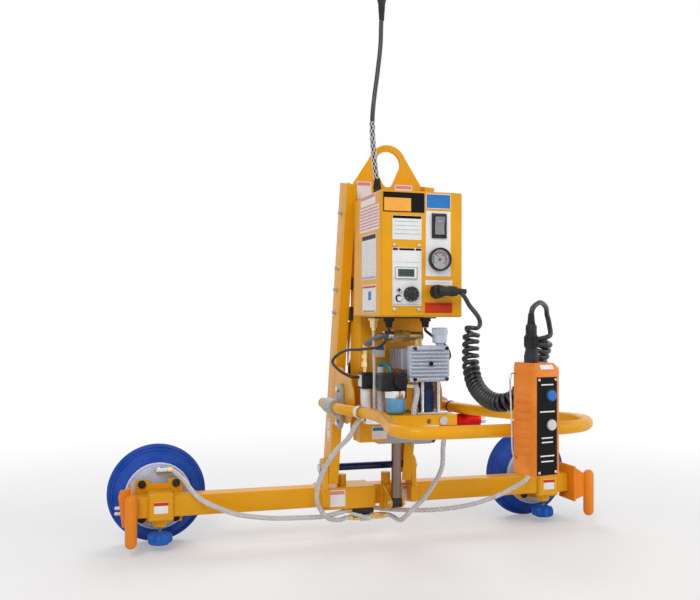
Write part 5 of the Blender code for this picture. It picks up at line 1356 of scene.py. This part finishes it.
def on_pendant():
    """The pendant's own frame: X across its front, -Y out of it."""
    return Matrix.Translation(at(*PENDANT_AT)) @ Matrix.Rotation(PENDANT_TURN, 4, "Z")


def pendant_block(name, low, high, finish, bevel):
    piece = cuboid(name, low, high, finish, None, bevel)
    piece.data.transform(on_pendant() @ Matrix.Translation(-at(0, 0, 0)))
    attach(piece, "frame")
    return piece


def chamfered(piece, frame_of, cuts):
    """Takes corners off a piece, each by a plane, and closes what it opens."""
    form = bmesh.new()
    form.from_mesh(piece.data)
    turn = frame_of.to_3x3()
    for point, way in cuts:
        made = bmesh.ops.bisect_plane(form, geom=form.verts[:] + form.edges[:] + form.faces[:],
                                      plane_co=frame_of @ Vector(point),
                                      plane_no=(turn @ Vector(way)).normalized(), clear_outer=True)
        rims = [e for e in made["geom_cut"] if isinstance(e, bmesh.types.BMEdge) and e.is_valid]
        bmesh.ops.holes_fill(form, edges=rims)
    bmesh.ops.recalc_face_normals(form, faces=form.faces)
    form.to_mesh(piece.data)
    form.free()


def bored(piece, centres, radius):
    """Bores round holes through a piece of the pendant's front."""
    form = bmesh.new()
    for centre in centres:
        place = (Matrix.Translation(centre) @ Matrix.Rotation(PENDANT_TURN, 4, "Z")
                 @ Matrix.Rotation(math.pi / 2, 4, "X"))
        bmesh.ops.create_cone(form, cap_ends=True, segments=40, radius1=radius, radius2=radius,
                              depth=0.02, matrix=place)
    mesh = mesh_of(form, "holes")
    tool = bpy.data.objects.new("holes", mesh)
    bpy.context.scene.collection.objects.link(tool)
    change = piece.modifiers.new("holes", "BOOLEAN")
    change.operation = "DIFFERENCE"
    change.object = tool
    change.solver = "EXACT"
    piece.modifiers.move(len(piece.modifiers) - 1, 0)
    bpy.context.view_layer.update()
    result = bpy.data.meshes.new_from_object(piece.evaluated_get(
        bpy.context.evaluated_depsgraph_get()))
    piece.modifiers.clear()
    piece.data = result
    bpy.data.objects.remove(tool)


def pendant():
    front = -PENDANT_DEPTH / 2
    case = dressed("pendant_case", ORANGE_PLASTIC, 0.0016)
    half, top = PENDANT_WIDTH / 2, PENDANT_HEIGHT / 2
    chamfered(case, on_pendant(), [((0, front, top - 0.014), (0, -0.014, 0.009)),
                                   ((half, 0, top - 0.013), (0.013, 0, 0.009)),
                                   ((-half, 0, top - 0.013), (-0.013, 0, 0.009)),
                                   ((half, front + 0.005, 0), (1, -1, 0)),
                                   ((-half, front + 0.005, 0), (-1, -1, 0))])
    rim = pendant_block("pendant_panel_rim", (-0.0255, front - 0.0012, -0.101),
                        (0.0205, front + 0.001, 0.0785), BLACK_PLASTIC, 0.001)
    panel = pendant_block("pendant_panel", (-0.0247, front - 0.0016, -0.1),
                          (0.0197, front - 0.001, 0.0775), BLACK_LABEL, 0.0002)
    for piece in (rim, panel):
        bored(piece, [on_pendant() @ Vector((BUTTON_X, front, z - PENDANT_AT[2]))
                      for z in BUTTON_HEIGHTS], BUTTON_WELL)
    for i, z in enumerate(BUTTON_HEIGHTS):
        z -= PENDANT_AT[2]
        collar = bead(f"pendant_collar_{i}", Vector((0, 0, 0)), 0.0118, 0.0016, BLACK_RUBBER, None,
                      "-Y", 48)
        collar.data.transform(on_pendant() @ Matrix.Translation((BUTTON_X, front - 0.0018, z)))
        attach(collar, "frame")
    for i, (z, wide) in enumerate(((0.0645, 0.028), (0.015, 0.034), (-0.033, 0.026),
                                   (-0.041, 0.026), (-0.066, 0.032), (-0.076, 0.028))):
        pendant_block(f"pendant_line_{i}", (-0.0025 - wide / 2, front - 0.0019, z - 0.0012),
                      (-0.0025 + wide / 2, front - 0.0015, z + 0.0012), WHITE, 0.0001)
    for i, (x, z) in enumerate(((-0.0215, 0.0735), (0.0165, 0.0735), (-0.0215, -0.096),
                                (0.0165, -0.096))):
        head = screw(f"pendant_screw_{i}", 0, 0, 0.0028, 0, None)
        head.data.transform(on_pendant() @ Matrix.Translation((x, front - 0.0016, z))
                            @ Matrix.Translation(-at(0, 0, 0)))
        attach(head, "frame")
    sticker = cuboid("pendant_label", (-0.015, -0.0003, -0.0048), (0.015, 0.0003, 0.0048), WHITE,
                     None, 0.0001)
    sticker.data.transform(on_pendant() @ Matrix.Translation((0.001, front + 0.0044, top - 0.007))
                           @ Matrix.Rotation(-math.atan2(0.009, 0.014), 4, "X")
                           @ Matrix.Translation(-at(0, 0, 0)))
    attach(sticker, "frame")
    for side in (-1, 1):
        for i in range(9):
            z = -0.08 + i * 0.016
            x = side * 0.0305
            near, far = sorted((x - side * 0.0002, x + side * 0.001))
            pendant_block(f"pendant_grip_{side + 1}_{i}", (near, -0.02, z - 0.0028),
                          (far, 0.018, z + 0.0028), ORANGE_PLASTIC, 0.0006)
    dressed("up_button", BUTTON_BLUE, 0.001)
    dressed("down_button", BUTTON_WHITE, 0.001)
    dressed("pendant_connector", BLACK_PLASTIC, 0.0008)
    upright_ribs("connector_grip", 16, (0.086, -0.736), 0.0126, 0.0008, (0.413, 0.432),
                 BLACK_PLASTIC, 0.0004)
    relief("connector_relief", at(0.086, -0.736, 0.4552), "+Z", WIRE_RADIUS, 0.0078, 0.02,
           BLACK_RUBBER)
    loop = [(-0.031, 0.02, 0.085), (-0.04, 0.02, 0.083), (-0.0455, 0.018, 0.07),
            (-0.0465, 0.014, 0.03), (-0.046, 0.012, -0.02), (-0.045, 0.012, -0.055),
            (-0.04, 0.014, -0.07), (-0.031, 0.016, -0.074)]
    line = smooth_route([on_pendant() @ Vector(p) for p in loop], 0.004)
    sweep("pendant_loop", line, 0.0018, STEEL, "frame", 14)


# Labels on the frame

def labels():
    """Bare labels where the photograph shows stickers."""
    for i, (x0, x1, z0, z1) in enumerate(((-0.08, -0.043, 0.756, 0.8),
                                          (0.019, 0.065, 0.764, 0.796))):
        y = -0.17 - 0.00475
        cuboid(f"bail_label_{i}", (x0, y - 0.0005, z0), (x1, y, z1), WHITE, "frame", 0.0001)
        cuboid(f"bail_header_{i}", (x0 + 0.002, y - 0.0008, z1 - 0.01),
               (x1 - 0.002, y - 0.0003, z1 - 0.002), PINK_LABEL, "frame", 0.0001)
    y = -0.0254
    for i, x in enumerate((-0.111, 0.096)):
        front = -0.045 if x < 0 else y
        cuboid(f"beam_label_{i}", (x, front - 0.0005, -0.022), (x + 0.044, front, 0.02), WHITE,
               "crossarm", 0.0001)
        cuboid(f"beam_header_{i}", (x + 0.002, front - 0.0008, 0.009),
               (x + 0.042, front - 0.0003, 0.018), PINK_LABEL, "crossarm", 0.0001)
    x = -LEG_OUTER_X
    middle = leg_y(0.178)
    cuboid("leg_label", (x - 0.0005, middle - 0.013, 0.15), (x, middle + 0.013, 0.206), WHITE,
           "frame", 0.0001)
    for i, z in enumerate((0.201, 0.178, 0.155)):
        cuboid(f"leg_mark_{i}", (x - 0.0008, middle - 0.01, z - 0.0014),
               (x - 0.0003, middle + 0.01, z + 0.0014), GREY_LABEL, "frame", 0.0001)
    z0, z1 = 0.172, 0.202
    y = -0.208
    cuboid("trunk_label", (-0.05, y - 0.0005, z0), (-0.012, y, z1), WHITE, "frame", 0.0001)
    cuboid("trunk_header", (-0.048, y - 0.0008, z1 - 0.01), (-0.014, y - 0.0003, z1 - 0.002),
           BLUE_LABEL, "frame", 0.0001)
    cuboid("trunk_label_high", (-0.044, y - 0.0005, 0.37), (-0.018, y, 0.398), WHITE, "frame",
           0.0001)
    cuboid("trunk_header_high", (-0.042, y - 0.0008, 0.387), (-0.02, y - 0.0003, 0.396),
           BLUE_LABEL, "frame", 0.0001)


# Stage

def stage():
    floor_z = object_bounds()[0][2]
    form = bmesh.new()
    reach = 8.0
    corners = [form.verts.new((x, y, floor_z)) for x, y in ((-reach, -reach), (reach, -reach),
                                                            (reach, reach), (-reach, reach))]
    form.faces.new(corners)
    mesh = mesh_of(form, "floor")
    floor = bpy.data.objects.new("floor", mesh)
    bpy.context.scene.collection.objects.link(floor)
    mesh.materials.append(floor_finish())
    floor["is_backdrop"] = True
    world = bpy.data.worlds.new("studio")
    bpy.context.scene.world = world
    world.use_nodes = True
    tree = world.node_tree
    tree.nodes.clear()
    soft = tree.nodes.new("ShaderNodeBackground")
    soft.inputs["Color"].default_value = (1, 1, 1, 1)
    soft.inputs["Strength"].default_value = 0.5
    white = tree.nodes.new("ShaderNodeBackground")
    white.inputs["Color"].default_value = (1, 1, 1, 1)
    white.inputs["Strength"].default_value = 1.0
    blend = tree.nodes.new("ShaderNodeMixShader")
    out = tree.nodes.new("ShaderNodeOutputWorld")
    tree.links.new(seen_directly(tree), blend.inputs["Fac"])
    tree.links.new(soft.outputs["Background"], blend.inputs[1])
    tree.links.new(white.outputs["Background"], blend.inputs[2])
    tree.links.new(blend.outputs["Shader"], out.inputs["Surface"])
    lamp("key", (-2.2, -3.4, 2.4), (0, 0, -0.3), 2.0, 86)
    lamp("fill", (3.0, -2.6, 1.2), (0, 0, -0.4), 2.6, 45)
    lamp("back", (0.6, 3.2, 2.2), (0, 0, -0.4), 2.4, 45)


def seen_directly(tree):
    """One for camera, glossy and transmission rays, else zero."""
    rays = tree.nodes.new("ShaderNodeLightPath")
    values = [rays.outputs["Is Camera Ray"], rays.outputs["Is Glossy Ray"],
              rays.outputs["Is Transmission Ray"]]
    while len(values) > 1:
        either = tree.nodes.new("ShaderNodeMath")
        either.operation = "MAXIMUM"
        tree.links.new(values.pop(0), either.inputs[0])
        tree.links.new(values.pop(0), either.inputs[1])
        values.insert(0, either.outputs[0])
    return values[0]


def floor_finish():
    """Matt and pale under the object, and white as the background further out."""
    made, tree, shader = principled("floor_white", (0.86, 0.86, 0.86), 0.75)
    tone = ramp(tree, noise(tree, 2, 3), (0.84, 0.84, 0.84), (0.88, 0.88, 0.88))
    tree.links.new(tone, shader.inputs["Base Color"])
    place = tree.nodes.new("ShaderNodeTexCoord")
    distance = tree.nodes.new("ShaderNodeVectorMath")
    distance.operation = "LENGTH"
    tree.links.new(place.outputs["Object"], distance.inputs[0])
    fade = tree.nodes.new("ShaderNodeMapRange")
    fade.interpolation_type = "SMOOTHSTEP"
    fade.inputs["From Min"].default_value = 1.15
    fade.inputs["From Max"].default_value = 2.6
    fade.inputs["To Min"].default_value = 0.25
    tree.links.new(distance.outputs["Value"], fade.inputs["Value"])
    share = tree.nodes.new("ShaderNodeMath")
    share.operation = "MULTIPLY"
    tree.links.new(fade.outputs["Result"], share.inputs[0])
    tree.links.new(seen_directly(tree), share.inputs[1])
    white = tree.nodes.new("ShaderNodeEmission")
    white.inputs["Color"].default_value = (1, 1, 1, 1)
    white.inputs["Strength"].default_value = 1.0
    blend = tree.nodes.new("ShaderNodeMixShader")
    out = tree.nodes["Material Output"]
    tree.links.new(share.outputs[0], blend.inputs["Fac"])
    tree.links.new(shader.outputs["BSDF"], blend.inputs[1])
    tree.links.new(white.outputs["Emission"], blend.inputs[2])
    tree.links.new(blend.outputs["Shader"], out.inputs["Surface"])
    return made


def lamp(name, place, aim, size, power):
    data = bpy.data.lights.new(name, "AREA")
    data.size = size
    data.energy = power
    made = bpy.data.objects.new(name, data)
    made.location = place
    made.rotation_euler = (Vector(aim) - Vector(place)).to_track_quat("-Z", "Y").to_euler()
    bpy.context.scene.collection.objects.link(made)


bpy.context.scene.view_settings.view_transform = "Standard"
make_camera()
structure()
handle()
crossarm()
hoses()
control_box()
pump()
pendant()
labels()
pendant_cord()
supply_cord(dressed("supply_plug", BLACK_PLASTIC, 0.0008))
stage()
